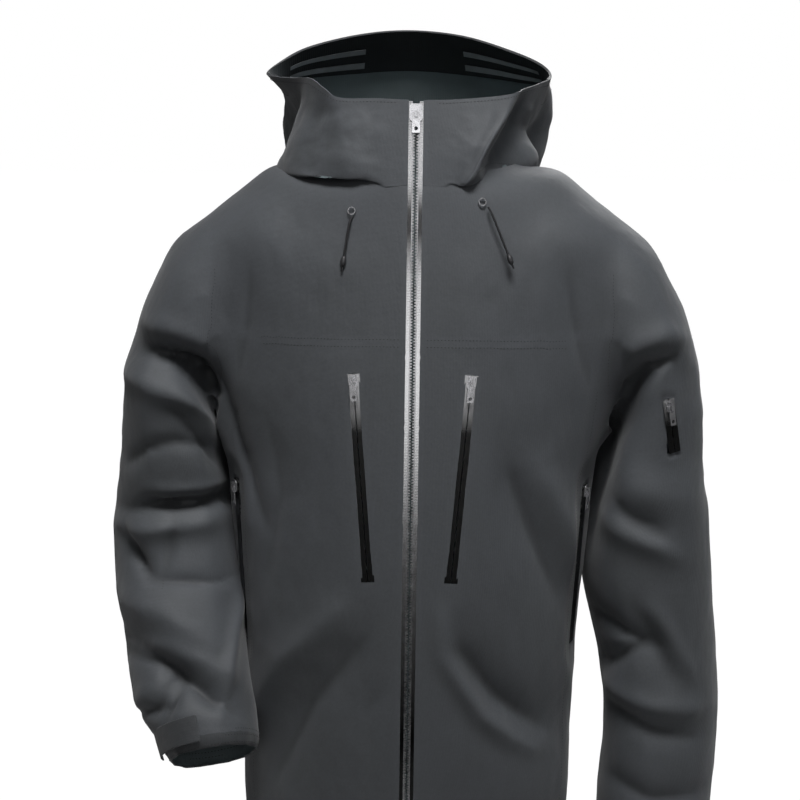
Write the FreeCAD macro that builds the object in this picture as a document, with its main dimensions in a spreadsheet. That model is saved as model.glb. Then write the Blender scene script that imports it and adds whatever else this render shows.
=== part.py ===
"""Hardshell mountain jacket, in millimetres: laminate panels, hood, zips, cords and cuffs as separate solids.

The hem's centre is the origin. +Z is up, the front faces -Y and the wearer's left arm is on +X.
The front zip follows a circular arc in the plane x = 0, so its slider turns about that arc's centre.
"""
import FreeCAD, Part
import Sketcher
import math
import os

V = FreeCAD.Vector
DOC = FreeCAD.newDocument("hardshell_jacket")
SHEET = DOC.addObject("Spreadsheet::Sheet", "sizes")
NODES = {}

SIZES = [
    ("laminate", 1.2, "thickness of the shell fabric with its seam tape"),
    ("seam_gap", 0.4, "free line between two neighbouring panels"),
    ("beyond", 500, "reach of a cutting block past the jacket"),
    ("arc_radius", 2400, "radius of the centre-front line"),
    ("arc_centre_y", 2250, "centre of that arc, behind the jacket"),
    ("arc_centre_level", 200, "height of the foremost point of the front"),
    ("zip_opening", 17, "width between the two front edges"),
    ("yoke_level", 551, "seam between yoke and lower panels"),
    ("side_seam_front", -80, "seam between front and side panels"),
    ("side_seam_back", 60, "seam between side and back panels"),
    ("shoulder_seam", 5, "seam between the front yokes and the back yoke"),
    ("armhole_plane", 198, "distance of each armhole from the middle"),
    ("collar_split", 20, "seam between collar fronts and collar back"),
    ("hood_centre_x", -15, "the hood lies a little towards the right shoulder"),
    ("hood_pivot_y", 40, "line about which the hood folds back and up"),
    ("hood_pivot_level", 745, "height of that line"),
    ("hood_radius", 155, "hood crown from the folding line"),
    ("hood_half_width", 162, "half the hood's width"),
    ("hood_low_angle", -40, "lower edge of the dropped hood, from horizontal"),
    ("hood_brim_angle", 36, "where the brim starts"),
    ("brim_sweep", 9.5, "angle that the brim covers"),
    ("brim_thick", 3, "stiffened brim"),
    ("hood_middle", 62, "half width of the middle hood panel"),
    ("hood_base_sweep", 2, "angle that the neck gusset covers"),
    ("neck_room_radius", 80, "room the hood leaves about the collar, from its folding line"),
    ("neck_room_half", 113, "half length of that room"),
    ("brim_tape_thick", 0.5, "stiffener tape inside the brim"),
    ("brim_tape_half", 100, "half length of that tape"),
    ("tape_thick", 0.6, "zip tape"),
    ("tape_drop", 1.6, "front zip tape below the shell's outer face"),
    ("tape_outer", 17, "outer edge of the front zip tape from the middle"),
    ("tape_inner", 3.4, "inner edge of the front zip tape"),
    ("teeth_bottom", 24, "lowest front zip tooth"),
    ("teeth_top", 756, "highest front zip tooth"),
    ("tooth_pitch", 2.8, "front zip pitch"),
    ("tooth_length", 1.5, "tooth along the zip"),
    ("tooth_tip", 0.6, "tooth tip from the middle"),
    ("tooth_rail", 2.3, "tooth rail's inner edge from the middle"),
    ("tooth_root", 3.3, "tooth rail's outer edge from the middle"),
    ("tooth_front", 0.3, "teeth below the shell's outer face"),
    ("tooth_thick", 2.4, "teeth from front to back"),
    ("flap_right", -20, "wind flap edge on the right"),
    ("flap_left", 24, "wind flap edge on the left"),
    ("flap_drop", 8, "wind flap behind the shell's outer face"),
    ("slider_level", 768, "front slider when closed"),
    ("box_height", 12, "retaining box at the bottom of the zip"),
    ("chest_top_x", 57, "upper end of a chest zip from the middle"),
    ("chest_top_level", 521, "height of that end"),
    ("chest_bottom_x", 40, "lower end of a chest zip from the middle"),
    ("chest_bottom_level", 321, "height of that end"),
    ("pit_top_y", -56, "upper end of an underarm zip"),
    ("pit_top_level", 402, "height of that end"),
    ("pit_bottom_y", -50, "lower end of an underarm zip"),
    ("pit_bottom_level", 236, "height of that end"),
    ("arm_top_x", 253, "upper end of the arm pocket zip"),
    ("arm_top_level", 492, "height of that end"),
    ("arm_bottom_x", 262, "lower end of the arm pocket zip"),
    ("arm_bottom_level", 438, "height of that end"),
    ("coil_gap", 0.55, "half the slit of a coil zip"),
    ("coil_width", 2.4, "coil across the zip"),
    ("coil_thick", 1.5, "coil from front to back"),
    ("coil_tape_half", 6.6, "half width of a coil zip"),
    ("window_half", 7.2, "half width of the window a zip lies in"),
    ("window_extra", 5, "window past each end of its zip"),
    ("main_plate_width", 13, "front slider plate"),
    ("main_plate_length", 17, "front slider plate"),
    ("main_plate_thick", 1.6, "front slider plates"),
    ("main_front_gap", 0.45, "front plate above the shell's outer face"),
    ("main_back_gap", 3.15, "back plate below the shell's outer face"),
    ("main_crown_width", 2.8, "bridge that holds the pull"),
    ("main_crown_length", 10, "bridge along the zip"),
    ("main_crown_height", 4, "bridge above the plate"),
    ("main_pull_width", 7.6, "front pull tab"),
    ("main_pull_length", 21, "front pull tab"),
    ("main_pull_thick", 1.3, "front pull tab"),
    ("main_eye", 1.9, "radius of the eye in the front pull"),
    ("small_plate_width", 8.6, "pocket slider plate"),
    ("small_plate_length", 12, "pocket slider plate"),
    ("small_plate_thick", 1.3, "pocket slider plates"),
    ("small_front_gap", 0.45, "front plate above the tape"),
    ("small_back_gap", 2.6, "back plate below the tape"),
    ("small_crown_width", 2.2, "bridge that holds the pull"),
    ("small_crown_length", 8, "bridge along the zip"),
    ("small_crown_height", 3.6, "bridge above the plate"),
    ("small_pull_width", 6.4, "pocket pull tab"),
    ("small_pull_length", 20, "pocket pull tab"),
    ("small_pull_thick", 1.2, "pocket pull tab"),
    ("small_eye", 1.7, "radius of the eye in a pocket pull"),
    ("post_thick", 0.4, "neck of a slider, in the slit"),
    ("post_length", 4, "neck of a slider, along the zip"),
    ("crown_slot", 2.4, "height of the slot under the bridge"),
    ("bag_width", 88, "chest pocket bag"),
    ("bag_height", 230, "chest pocket bag"),
    ("bag_thick", 3, "chest pocket bag, empty"),
    ("bag_depth", 20, "pocket bag behind the zip"),
    ("cord_radius", 1.3, "shock cord"),
    ("cord_lift", 3.4, "hanging cord above the chest"),
    ("cord_end_radius", 3.2, "moulded cord end"),
    ("cord_end_length", 12, "moulded cord end"),
    ("right_cord_x", -60, "where the right hood cord leaves the collar"),
    ("right_cord_level", 674, "height of that point"),
    ("right_cord_end_x", -66, "hanging end of the right cord"),
    ("right_cord_end_level", 622, "height of that end"),
    ("left_cord_x", 64, "where the left hood cord leaves the collar"),
    ("left_cord_level", 684, "height of that point"),
    ("left_cord_end_x", 91, "hanging end of the left cord"),
    ("left_cord_end_level", 628, "height of that end"),
    ("eyelet_radius", 4, "cord exit eyelet"),
    ("eyelet_wall", 1, "rim of that eyelet"),
    ("hem_cord_level", 14, "drawcord in the hem"),
    ("hem_cord_inset", 5, "drawcord inside the shell"),
    ("lock_x", 118, "hem cord locks from the middle"),
    ("lock_level", 26, "height of the hem cord locks"),
    ("lock_width", 13, "cord lock"),
    ("lock_height", 17, "cord lock"),
    ("lock_thick", 9, "cord lock"),
    ("lock_standoff", 0.6, "cord lock in front of the shell"),
    ("button_radius", 3.2, "press button of a cord lock"),
    ("button_length", 13, "press button, with the part inside"),
    ("button_out", 5, "press button, the part outside"),
    ("button_bore", 3.3, "bore for the button"),
    ("hood_lock_angle", 24, "rear hood adjuster, from horizontal"),
    ("tab_gap", 0.9, "cuff tab above the sleeve"),
    ("tab_thick", 1.6, "cuff tab"),
    ("tab_height", 26, "cuff tab along the sleeve"),
    ("tab_above_cuff", 17, "cuff tab above the sleeve's end"),
    ("cuff_height", 16, "cuff facing"),
    ("elbow_level", 300, "seam between upper sleeve and forearm"),
    ("loop_radius", 24, "hang loop"),
    ("loop_thick", 1.6, "half thickness of the hang loop"),
    ("loop_y", 80, "hang loop, inside the collar back"),
    ("loop_level", 744, "height of the hang loop"),
]
# Torso and collar rings: name, height, half width, back of the ring. Each ring's front is on the zip's arc.
TORSO = [("hem", 0, 165, 118), ("hem_top", 60, 165.5, 116), ("low_waist", 120, 166.5, 114),
         ("waist", 180, 168, 112), ("high_waist", 240, 171, 110.5), ("ribs", 300, 175.5, 110),
         ("low_breast", 365, 182, 112), ("breast", 430, 192, 118), ("armpit", 495, 218, 124),
         ("shoulder_low", 560, 234, 127), ("shoulder", 610, 228, 124), ("shoulder_top", 645, 196, 118),
         ("slope", 675, 160, 108), ("slope_top", 700, 125, 97), ("neck", 720, 97, 88)]
COLLAR = [("collar_base", 720.4, 97, 88), ("collar_mid", 750, 110, 98), ("collar_top", 780, 108, 100)]
# Sleeve rings: name, centre x, y, height, half width, half depth, lean to the side, lean to the front (degrees).
UPPER_ARM = [("armhole", 200, 2, 563, 80, 81, -90, 0), ("cap", 219.5, 2, 552, 76, 79, -77.8, 0),
             ("cap_low", 235.5, 2, 525.5, 66, 78, -60.5, 0), ("biceps", 244, 2, 487.5, 54, 76, -37, 0),
             ("upper_arm", 245, 2, 432.5, 50.5, 74, -8.5, 0), ("above_elbow", 246, 2, 350, 59, 70, 0, 0)]
LEFT_FOREARM = [("elbow", 247, 2, 300, 61, 68, 0, 0), ("forearm", 258, 0, 200, 58, 64, 0, 0),
                ("wrist", 260, -3, 100, 57, 60, 0, 0), ("cuff", 261, -5, 2, 54, 56, 0, 0)]
RIGHT_FOREARM = [("elbow", -241, -13, 302, 60, 68, 4, -16), ("forearm", -230, -48, 242, 57, 62, -8, -27),
                 ("wrist", -207, -88, 178, 52, 56, -13, -30), ("cuff", -191, -119, 122, 46, 52, -13, -30)]


def fill_sheet():
    """Writes every driving dimension into the sheet as a plain number with an alias."""
    rows = list(SIZES)
    for name, level, half, back in TORSO + COLLAR:
        rows += [(name + "_level", level, "height of the " + name + " ring"),
                 (name + "_half_width", half, "half width there"), (name + "_back", back, "back of that ring")]
    for side, rings in SLEEVES.items():
        for name, x, y, z, wide, deep, lean, pitch in rings:
            at = side + "_" + name
            rows += [(at + "_half_width", wide, "sleeve ring"), (at + "_half_depth", deep, "sleeve ring")]
    for i, (alias, value, note) in enumerate(rows, start=1):
        SHEET.set("A%d" % i, note)
        SHEET.set("B%d" % i, str(value))
        SHEET.setAlias("B%d" % i, alias)
    DOC.recompute()


def size(alias):
    """One driving dimension."""
    return float(getattr(SHEET, alias))


def value_of(text):
    """Number that an expression of sheet cells gives now."""
    return float(SHEET.evalExpression(text.replace("sizes.", "")))


def add(kind, name, **expressions):
    """A document object whose properties follow the sheet through expressions."""
    made = DOC.addObject(kind, name)
    for prop, text in expressions.items():
        made.setExpression(prop.replace("__", "."), text)
    return made


def node(made, label):
    """Names a finished sub-part; its label is its file's name."""
    made.Label = label
    NODES[label] = made
    return made


def front_text(level):
    """Expression for the y of the zip's arc at a height."""
    return ("(sizes.arc_centre_y - sqrt(sizes.arc_radius ^ 2 - (%s - sizes.arc_centre_level) ^ 2))" % level)


def front_y(level):
    """The y of the zip's arc at a height."""
    rise = level - size("arc_centre_level")
    return size("arc_centre_y") - math.sqrt(size("arc_radius") ** 2 - rise ** 2)


def body_ring(name, offset, tag):
    """Elliptical ring of the torso or collar, grown by the offset expression."""
    front, back = front_text("sizes.%s_level" % name), "sizes.%s_back" % name
    ring = add("Part::Ellipse", name + tag, MajorRadius="sizes.%s_half_width + %s" % (name, offset),
               MinorRadius="(%s - %s) / 2 + %s" % (back, front, offset))
    ring.Placement.Base = V(0, (size(name + "_back") + front_y(size(name + "_level"))) / 2, 0)
    ring.setExpression(".Placement.Base.z", "sizes.%s_level" % name)
    return ring


def sleeve_ring(side, row, offset, tag):
    """Elliptical sleeve ring whose long axis runs front to back."""
    name, x, y, z, wide, deep, lean, pitch = row
    at = "sizes.%s_%s" % (side, name)
    ring = add("Part::Ellipse", side + "_" + name + tag, MajorRadius="%s_half_depth + %s" % (at, offset),
               MinorRadius="%s_half_width + %s" % (at, offset))
    turn = FreeCAD.Rotation(V(0, 1, 0), lean).multiply(FreeCAD.Rotation(V(1, 0, 0), pitch))
    ring.Placement = FreeCAD.Placement(V(x, y, z), turn.multiply(FreeCAD.Rotation(V(0, 0, 1), 90)))
    return ring


def loft(name, rings):
    """Solid through a list of rings."""
    made = DOC.addObject("Part::Loft", name)
    made.Sections, made.Solid, made.Ruled, made.MaxDegree = rings, True, False, 3
    return made


def cut(name, base, tool):
    made = DOC.addObject("Part::Cut", name)
    made.Base, made.Tool = base, tool
    return made


def common(name, base, tool):
    made = DOC.addObject("Part::Common", name)
    made.Base, made.Tool = base, tool
    return made


def body_shell(name, rows, outer="0", inner="(0 - sizes.laminate)"):
    """Tube between two lofts through the same rings, each grown by an offset."""
    return cut(name, loft(name + "_out", [body_ring(r[0], outer, name + "_o") for r in rows]),
               loft(name + "_in", [body_ring(r[0], inner, name + "_i") for r in rows]))


def sleeve_form(name, side, rows, offset):
    """Solid through sleeve rings; the strongly tilted rings at the sleeve's head are joined pair by pair."""
    rings = [sleeve_ring(side, row, offset, name) for row in rows]
    head = sum(1 for row in rows if abs(row[6]) > 30) - 1
    if head < 1:
        return loft(name, rings)
    pieces = [loft("%s_%d" % (name, i), rings[i:i + 2]) for i in range(head)]
    pieces.append(loft(name + "_arm", rings[head:]))
    joined = DOC.addObject("Part::MultiFuse", name)
    joined.Shapes = pieces
    return joined


def sleeve_shell(name, side, rows, outer="0", inner="(0 - sizes.laminate)"):
    return cut(name, sleeve_form(name + "_out", side, rows, outer), sleeve_form(name + "_in", side, rows, inner))


def block(name, x, y, z):
    """Box between two expressions on each axis."""
    made = add("Part::Box", name, Length="(%s) - (%s)" % (x[1], x[0]), Width="(%s) - (%s)" % (y[1], y[0]),
               Height="(%s) - (%s)" % (z[1], z[0]))
    for axis, pair in zip("xyz", (x, y, z)):
        made.setExpression(".Placement.Base." + axis, pair[0])
    return made


def first_hit(solid, start, direction):
    """First point of a solid on a ray."""
    ray = Part.makeLine(start, start + direction * size("beyond"))
    return min((p.Point for p in solid.common(ray).Vertexes), key=lambda p: (p - start).Length)


def seat(solid, low, high, direction, sideways):
    """Placement on a surface: Z runs from the low to the high ray, -Y points out of the surface."""
    a, b = first_hit(solid, low, direction), first_hit(solid, high, direction)
    middle = (low + high) * 0.5
    step = sideways * 6.0
    across = first_hit(solid, middle + step, direction) - first_hit(solid, middle - step, direction)
    up = (b - a).normalize()
    inward = up.cross(across).normalize()
    return FreeCAD.Placement(a, FreeCAD.Rotation(inward.cross(up), inward, up, "ZYX")), (b - a).Length


# ---- Shell panels -------------------------------------------------------------------------------------------

def torso_panels():
    """Front, side and back panels and the yokes, split at the seams; the windows hold the pocket zips."""
    shell = body_shell("torso_shell", TORSO)
    far, half_gap = "sizes.beyond", "sizes.seam_gap / 2"
    edge, arm = "sizes.zip_opening / 2", "sizes.armhole_plane"
    low = ("0 - 1", "sizes.yoke_level - " + half_gap)
    high = ("sizes.yoke_level + " + half_gap, far + " * 2")
    front = ("0 - " + far, "sizes.side_seam_front - " + half_gap)
    side = ("sizes.side_seam_front + " + half_gap, "sizes.side_seam_back - " + half_gap)
    for label, sign in (("right", -1), ("left", 1)):
        span = (edge, arm) if sign > 0 else ("0 - " + arm, "0 - " + edge)
        pocket = common("front_%s_whole" % label, shell, block("front_%s_block" % label, span, front, low))
        WINDOWED[label] = ("front_panel_" + label, pocket)
        node(common("yoke_" + label, shell, block("yoke_%s_block" % label, span,
             ("0 - " + far, "sizes.shoulder_seam - " + half_gap), high)), "front_yoke_" + label)
        flank = ("0", arm) if sign > 0 else ("0 - " + arm, "0")
        whole = common("side_%s_whole" % label, shell, block("side_%s_block" % label, flank, side, low))
        WINDOWED["side_" + label] = ("side_panel_" + label, whole)
    every = ("0 - " + arm, arm)
    node(common("back", shell, block("back_block", every, ("sizes.side_seam_back + " + half_gap, far), low)),
         "back_panel")
    node(common("back_top", shell, block("back_top_block", every,
         ("sizes.shoulder_seam + " + half_gap, far), high)), "back_yoke")
    return shell


def collar_panels():
    """Stand-up collar: two fronts that meet at the zip, and a back."""
    shell = body_shell("collar_shell", COLLAR)
    far, edge, gap = "sizes.beyond", "sizes.zip_opening / 2", "sizes.seam_gap / 2"
    tall = ("sizes.neck_level", "sizes.neck_level + sizes.beyond")
    front = ("0 - " + far, "sizes.collar_split - " + gap)
    node(common("collar_r", shell, block("collar_r_block", ("0 - " + far, "0 - " + edge), front, tall)),
         "collar_right")
    node(common("collar_l", shell, block("collar_l_block", (edge, far), front, tall)), "collar_left")
    node(common("collar_b", shell, block("collar_b_block", ("0 - " + far, far),
         ("sizes.collar_split + " + gap, far), tall)), "collar_back")


def hood_sector(name, low, high, x_low, x_high):
    """Block that covers a range of angles about the hood's folding line, and a span across."""
    made = add("Part::Cylinder", name, Radius="sizes.hood_radius * 2", Height="(%s) - (%s)" % (x_high, x_low),
               Angle="(%s) - (%s)" % (high, low))
    start = math.radians(value_of(low))
    along = FreeCAD.Rotation(V(0, math.cos(start), math.sin(start)), V(0, -math.sin(start), math.cos(start)),
                             V(1, 0, 0))
    x_start = size("hood_centre_x") + value_of(x_low)
    made.Placement = FreeCAD.Placement(V(x_start, size("hood_pivot_y"), size("hood_pivot_level")), along)
    return made


WINDOWED = {}
SLEEVES = {
    "left": UPPER_ARM + LEFT_FOREARM,
    "right": [(n, -x, y, z, w, d, -t, p) for n, x, y, z, w, d, t, p in UPPER_ARM] + RIGHT_FOREARM,
}


def crown_form(name, grow):
    """Ellipsoid about the hood's folding line, grown by an expression."""
    radius = "sizes.hood_radius + " + grow
    made = add("Part::Ellipsoid", name, Radius1=radius, Radius2="sizes.hood_half_width + " + grow, Radius3=radius)
    made.Angle1, made.Angle2, made.Angle3 = -90, 90, 360
    made.Placement.Base = V(size("hood_centre_x"), size("hood_pivot_y"), size("hood_pivot_level"))
    return made


def hood_panels():
    """Dropped hood: a bowl about its folding line in three panels, a stiff brim, and the gusset at the neck."""
    shell = cut("hood_shell", crown_form("hood_out", "0"), crown_form("hood_in", "(0 - sizes.laminate)"))
    low, top = "sizes.hood_low_angle", "sizes.hood_brim_angle"
    far, half, gap = "sizes.beyond", "sizes.hood_middle", "sizes.seam_gap"
    for label, x_low, x_high in (("hood_center", "0 - " + half, half), ("hood_side_left", half + " + " + gap, far),
                                 ("hood_side_right", "0 - " + far, "0 - %s - %s" % (half, gap))):
        node(common(label + "_cut", shell, hood_sector(label + "_sector", low, top, x_low, x_high)), label)
    band = cut("brim_band", crown_form("brim_out", "0.6"), crown_form("brim_in", "0.6 - sizes.brim_thick"))
    node(common("brim_cut", band, hood_sector("brim_sector", top + " + 0.3", top + " + sizes.brim_sweep",
         "0 - " + far, far)), "hood_brim")
    inner = "0.2 - sizes.brim_thick"
    tape = cut("brim_tape_band", crown_form("tape_out", inner), crown_form("tape_in", inner + " - 0.5"))
    node(common("brim_tape_cut", tape, hood_sector("brim_tape_sector", top + " + 2", top + " + 5.5",
         "0 - sizes.brim_tape_half", "sizes.brim_tape_half")), "brim_tape")
    room = add("Part::Cylinder", "neck_room", Radius="sizes.neck_room_radius", Height="2 * sizes.neck_room_half")
    room.Placement = FreeCAD.Placement(V(-size("neck_room_half"), size("hood_pivot_y"), size("hood_pivot_level")),
                                       FreeCAD.Rotation(V(0, 1, 0), 90))
    under = low + " - sizes.hood_base_sweep - 0.5"
    wedge = common("hood_base_wedge", crown_form("base_out", "0"),
                   hood_sector("hood_base_sector", under, low + " - 0.5", "0 - " + far, far))
    gusset = cut("hood_base_cut", wedge, room)
    node(cut("hood_base_clearance", gusset, NODES["back_yoke"]), "hood_base")


def ring_plane_block(name, place, below, above):
    """Block across a sleeve between two distances along the axis of a placement."""
    made = add("Part::Box", name, Length="sizes.beyond", Width="sizes.beyond", Height="(%s) - (%s)" % (above, below))
    reach = size("beyond") / 2
    made.Placement = place.multiply(FreeCAD.Placement(V(-reach, -reach, value_of(below)), FreeCAD.Rotation()))
    return made


def upright(row):
    """Placement at a ring with Z up the sleeve, X across it and Y to the back."""
    name, x, y, z, wide, deep, lean, pitch = row
    turn = FreeCAD.Rotation(V(0, 1, 0), lean).multiply(FreeCAD.Rotation(V(1, 0, 0), pitch))
    return FreeCAD.Placement(V(x, y, z), turn)


def sleeve_panels():
    """Upper sleeve, forearm, cuff facing and cuff tab of both arms. Returns the two outer forms."""
    forms = {}
    far = "sizes.beyond"
    for side, rows in SLEEVES.items():
        shell = sleeve_shell("sleeve_%s_shell" % side, side, rows)
        forms[side] = DOC.getObject("sleeve_%s_shell_out" % side)
        every = ("0 - 2 * " + far, "2 * " + far)
        upper = common("sleeve_%s_upper" % side, shell, block("upper_%s_block" % side, every, every,
                       ("sizes.elbow_level + sizes.seam_gap / 2", far + " * 2")))
        if side == "left":
            WINDOWED["sleeve"] = ("upper_sleeve_left", upper)
        else:
            node(upper, "upper_sleeve_right")
        lower = common("sleeve_%s_lower" % side, shell, block("lower_%s_block" % side, every, every,
                       ("0 - " + far, "sizes.elbow_level - sizes.seam_gap / 2")))
        cuff = upright(rows[-1])
        node(common("forearm_" + side, lower, ring_plane_block("forearm_%s_block" % side, cuff.copy(),
             "sizes.cuff_height + 0.2", far)), "forearm_" + side)
        node(common("cuff_" + side, lower, ring_plane_block("cuff_%s_block" % side, cuff.copy(),
             "0 - 2", "sizes.cuff_height - 0.2")), "cuff_band_" + side)
        strip = sleeve_shell("tab_%s_shell" % side, side, rows[-3:], "sizes.tab_gap + sizes.tab_thick",
                             "sizes.tab_gap")
        zone = ring_plane_block("tab_%s_block" % side, cuff.copy(), "sizes.tab_above_cuff",
                                "sizes.tab_above_cuff + sizes.tab_height")
        outward = -1 if side == "right" else 1
        front = add("Part::Box", "tab_%s_front" % side, Length="sizes.beyond", Width="sizes.beyond",
                    Height="sizes.beyond")
        corner = V(-size("beyond") if outward < 0 else 0, -size("beyond") + 2, -size("beyond") / 2)
        front.Placement = cuff.multiply(FreeCAD.Placement(corner, FreeCAD.Rotation()))
        node(common("tab_" + side, common("tab_%s_band" % side, strip, zone), front), "cuff_tab_" + side)
    return forms


# ---- Zips ---------------------------------------------------------------------------------------------------

def arc_sector(name, radius, x_low, x_high, z_low, z_high):
    """Sector about the zip's arc centre with its axis along X, between two heights on the arc."""
    made = add("Part::Cylinder", name, Radius=radius, Height="(%s) - (%s)" % (x_high, x_low))
    top, bottom = (math.asin((z - size("arc_centre_level")) / size("arc_radius")) for z in (z_high, z_low))
    made.Angle = math.degrees(top - bottom)
    rotation = FreeCAD.Rotation(V(0, -math.cos(top), math.sin(top)), V(0, -math.sin(top), -math.cos(top)),
                                V(1, 0, 0))
    made.Placement = FreeCAD.Placement(V(0, size("arc_centre_y"), size("arc_centre_level")), rotation)
    made.setExpression(".Placement.Base.x", x_low)
    return made


def arc_band(name, drop, thick, x_low, x_high, z_low, z_high):
    """Strip that follows the zip's arc, its outer face below the shell's by the drop expression."""
    outer = "sizes.arc_radius - %s" % drop
    ends = (x_low, x_high, z_low, z_high)
    return cut(name, arc_sector(name + "_o", outer, *ends), arc_sector(name + "_i", outer + " - " + thick, *ends))


def tooth_comb(sign, phase):
    """Front view of one row of teeth on its rail."""
    tip, rail, root = size("tooth_tip"), size("tooth_rail"), size("tooth_root")
    pitch, length = size("tooth_pitch"), size("tooth_length")
    low, high = size("teeth_bottom"), size("teeth_top")
    points = [V(sign * root, 0, low)]
    level = low + phase
    while level + length < high:
        points += [V(sign * rail, 0, level), V(sign * tip, 0, level + length * 0.15),
                   V(sign * tip, 0, level + length * 0.85), V(sign * rail, 0, level + length)]
        level += pitch
    points += [V(sign * root, 0, high), points[0]]
    return Part.Face(Part.makePolygon(points))


def front_zip():
    """Tapes, teeth, retaining box and top stops of the centre-front zip, and the flap behind it."""
    bottom, top = 8.0, size("collar_top_level") - 1.0
    thick = "sizes.tape_thick"
    for label, x_low, x_high in (("right", "0 - sizes.tape_outer", "0 - sizes.tape_inner"),
                                 ("left", "sizes.tape_inner", "sizes.tape_outer")):
        tape = arc_band("tape_" + label, "sizes.tape_drop", thick, x_low, x_high, bottom, top)
        for panel in ("front_yoke_", "collar_"):
            tape = cut(panel + label + "_clearance", tape, NODES[panel + label])
        node(tape, "main_zip_tape_" + label)
    for label, sign, phase in (("right", -1, 0.3), ("left", 1, 0.3 + size("tooth_pitch") / 2)):
        band = arc_band("teeth_band_" + label, "sizes.tooth_front", "sizes.tooth_thick",
                        "0 - sizes.tape_outer", "sizes.tape_outer", bottom, top)
        DOC.recompute()
        comb = tooth_comb(sign, phase).extrude(V(0, -size("beyond"), 0))
        row = DOC.addObject("Part::Feature", "teeth_row_" + label)
        row.Shape = band.Shape.common(comb)
        node(row, "main_zip_teeth_" + label)
    box = arc_band("end_box", "(0 - 0.3)", "3.4", "0 - 4.2", "4.2", size("teeth_bottom") - size("box_height") - 0.4,
                   size("teeth_bottom") - 0.4)
    box_slots = block("end_box_slots", ("0 - sizes.beyond", "sizes.beyond"), ("0 - sizes.beyond", "0"),
                      ("sizes.teeth_bottom - 6", "sizes.teeth_bottom - 5"))
    sides = block("end_box_core", ("0 - 3.2", "3.2"), ("0 - sizes.beyond", "0"), ("0", "sizes.beyond"))
    grooves = cut("end_box_grooves", box_slots, sides)
    trimmed = arc_band("end_box_tape", "sizes.tape_drop - 0.2", "1", "0 - sizes.tape_outer", "sizes.tape_outer",
                       0.5, size("teeth_bottom") + 1)
    hollow = cut("end_box_room", trimmed, block("end_box_mid", ("0 - 3.1", "3.1"), ("0 - sizes.beyond", "0"),
                 ("0", "sizes.beyond")))
    shaped = cut("end_box_cut", cut("end_box_step", box, hollow), grooves)
    for label in ("right", "left"):
        shaped = cut("end_box_clear_" + label, shaped, NODES["main_zip_tape_" + label])
    node(shaped, "main_zip_box")
    node(arc_band("flap", "sizes.flap_drop", "1", "sizes.flap_right", "sizes.flap_left", bottom + 10, top - 5),
         "wind_flap")


def windowed_panels():
    """Cuts each zip's window into its panel."""
    for key, (label, panel) in WINDOWED.items():
        place, length = ZIP_SEATS[key]
        window = add("Part::Box", "window_" + key, Length="2 * sizes.window_half", Width="30")
        window.setExpression("Height", "%r + 2 * sizes.window_extra" % length)
        shift = V(-size("window_half"), -15, -size("window_extra"))
        window.Placement = place.multiply(FreeCAD.Placement(shift, FreeCAD.Rotation()))
        node(cut("windowed_" + key, panel, window), label)


ZIP_SEATS = {}


def find_seats(torso, arm):
    """Places the coil zips on the outer forms of the torso and of the left sleeve."""
    reach = size("beyond")
    for side, sign in (("right", -1), ("left", 1)):
        low = V(sign * size("chest_bottom_x"), -reach, size("chest_bottom_level"))
        high = V(sign * size("chest_top_x"), -reach, size("chest_top_level"))
        ZIP_SEATS[side] = seat(torso, low, high, V(0, 1, 0), V(1, 0, 0))
        low = V(sign * reach, size("pit_bottom_y"), size("pit_bottom_level"))
        high = V(sign * reach, size("pit_top_y"), size("pit_top_level"))
        ZIP_SEATS["side_" + side] = seat(torso, low, high, V(-sign, 0, 0), V(0, sign, 0))
    low = V(size("arm_bottom_x"), -reach, size("arm_bottom_level"))
    high = V(size("arm_top_x"), -reach, size("arm_top_level"))
    ZIP_SEATS["sleeve"] = seat(arm, low, high, V(0, 1, 0), V(1, 0, 0))


def group(label, members):
    """Several separate solids of one kind in one node."""
    made = DOC.addObject("Part::Compound", label + "_set")
    made.Links = members
    return node(made, label)


def strip(name, place, x, y, length):
    """Straight strip along a zip: x and y are pairs of expressions in the zip's own frame."""
    made = add("Part::Box", name, Length="(%s) - (%s)" % (x[1], x[0]), Width="(%s) - (%s)" % (y[1], y[0]))
    made.Height = length
    corner = V(*(value_of(text) for text in (x[0], y[0])), 0)
    made.Placement = place.multiply(FreeCAD.Placement(corner, FreeCAD.Rotation()))
    return made


def coil_strips(key, kind):
    """The two halves of a coil zip's tape or of its coil, mirrored about the slit."""
    place, length = ZIP_SEATS[key]
    gap, half, wide = "sizes.coil_gap", "sizes.coil_tape_half", "sizes.coil_width"
    spans = {"tape": (gap, half, "0", "sizes.tape_thick"),
             "coil": (gap, gap + " + " + wide, "sizes.tape_thick + 0.05", "sizes.tape_thick + sizes.coil_thick")}
    near, wide_end, y_low, y_high = spans[kind]
    made = []
    for tag, x in (("a", (near, wide_end)), ("b", ("0 - (%s)" % wide_end, "0 - (%s)" % near))):
        made.append(strip("%s_%s_%s" % (kind, key, tag), place.copy(), x, (y_low, y_high), length))
    return made


def coil_zips():
    """Tapes and coils of the chest, underarm and arm pocket zips."""
    group("chest_zip_tapes", coil_strips("right", "tape") + coil_strips("left", "tape"))
    group("pit_zip_tapes", coil_strips("side_right", "tape") + coil_strips("side_left", "tape"))
    group("sleeve_zip_tape", coil_strips("sleeve", "tape"))
    coils = []
    for key in ZIP_SEATS:
        coils += coil_strips(key, "coil")
    group("zip_coils", coils)


# ---- Hardware made as bodies --------------------------------------------------------------------------------

def sketch_on(body, name, role, offset=0.0):
    """Empty sketch on one of a body's own planes, moved along its normal."""
    made = body.newObject("Sketcher::SketchObject", name)
    plane = next(f for f in body.Origin.OriginFeatures if f.Role == role)
    made.AttachmentSupport, made.MapMode = [(plane, "")], "FlatFace"
    made.AttachmentOffset = FreeCAD.Placement(V(0, 0, offset), FreeCAD.Rotation())
    return made


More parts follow.
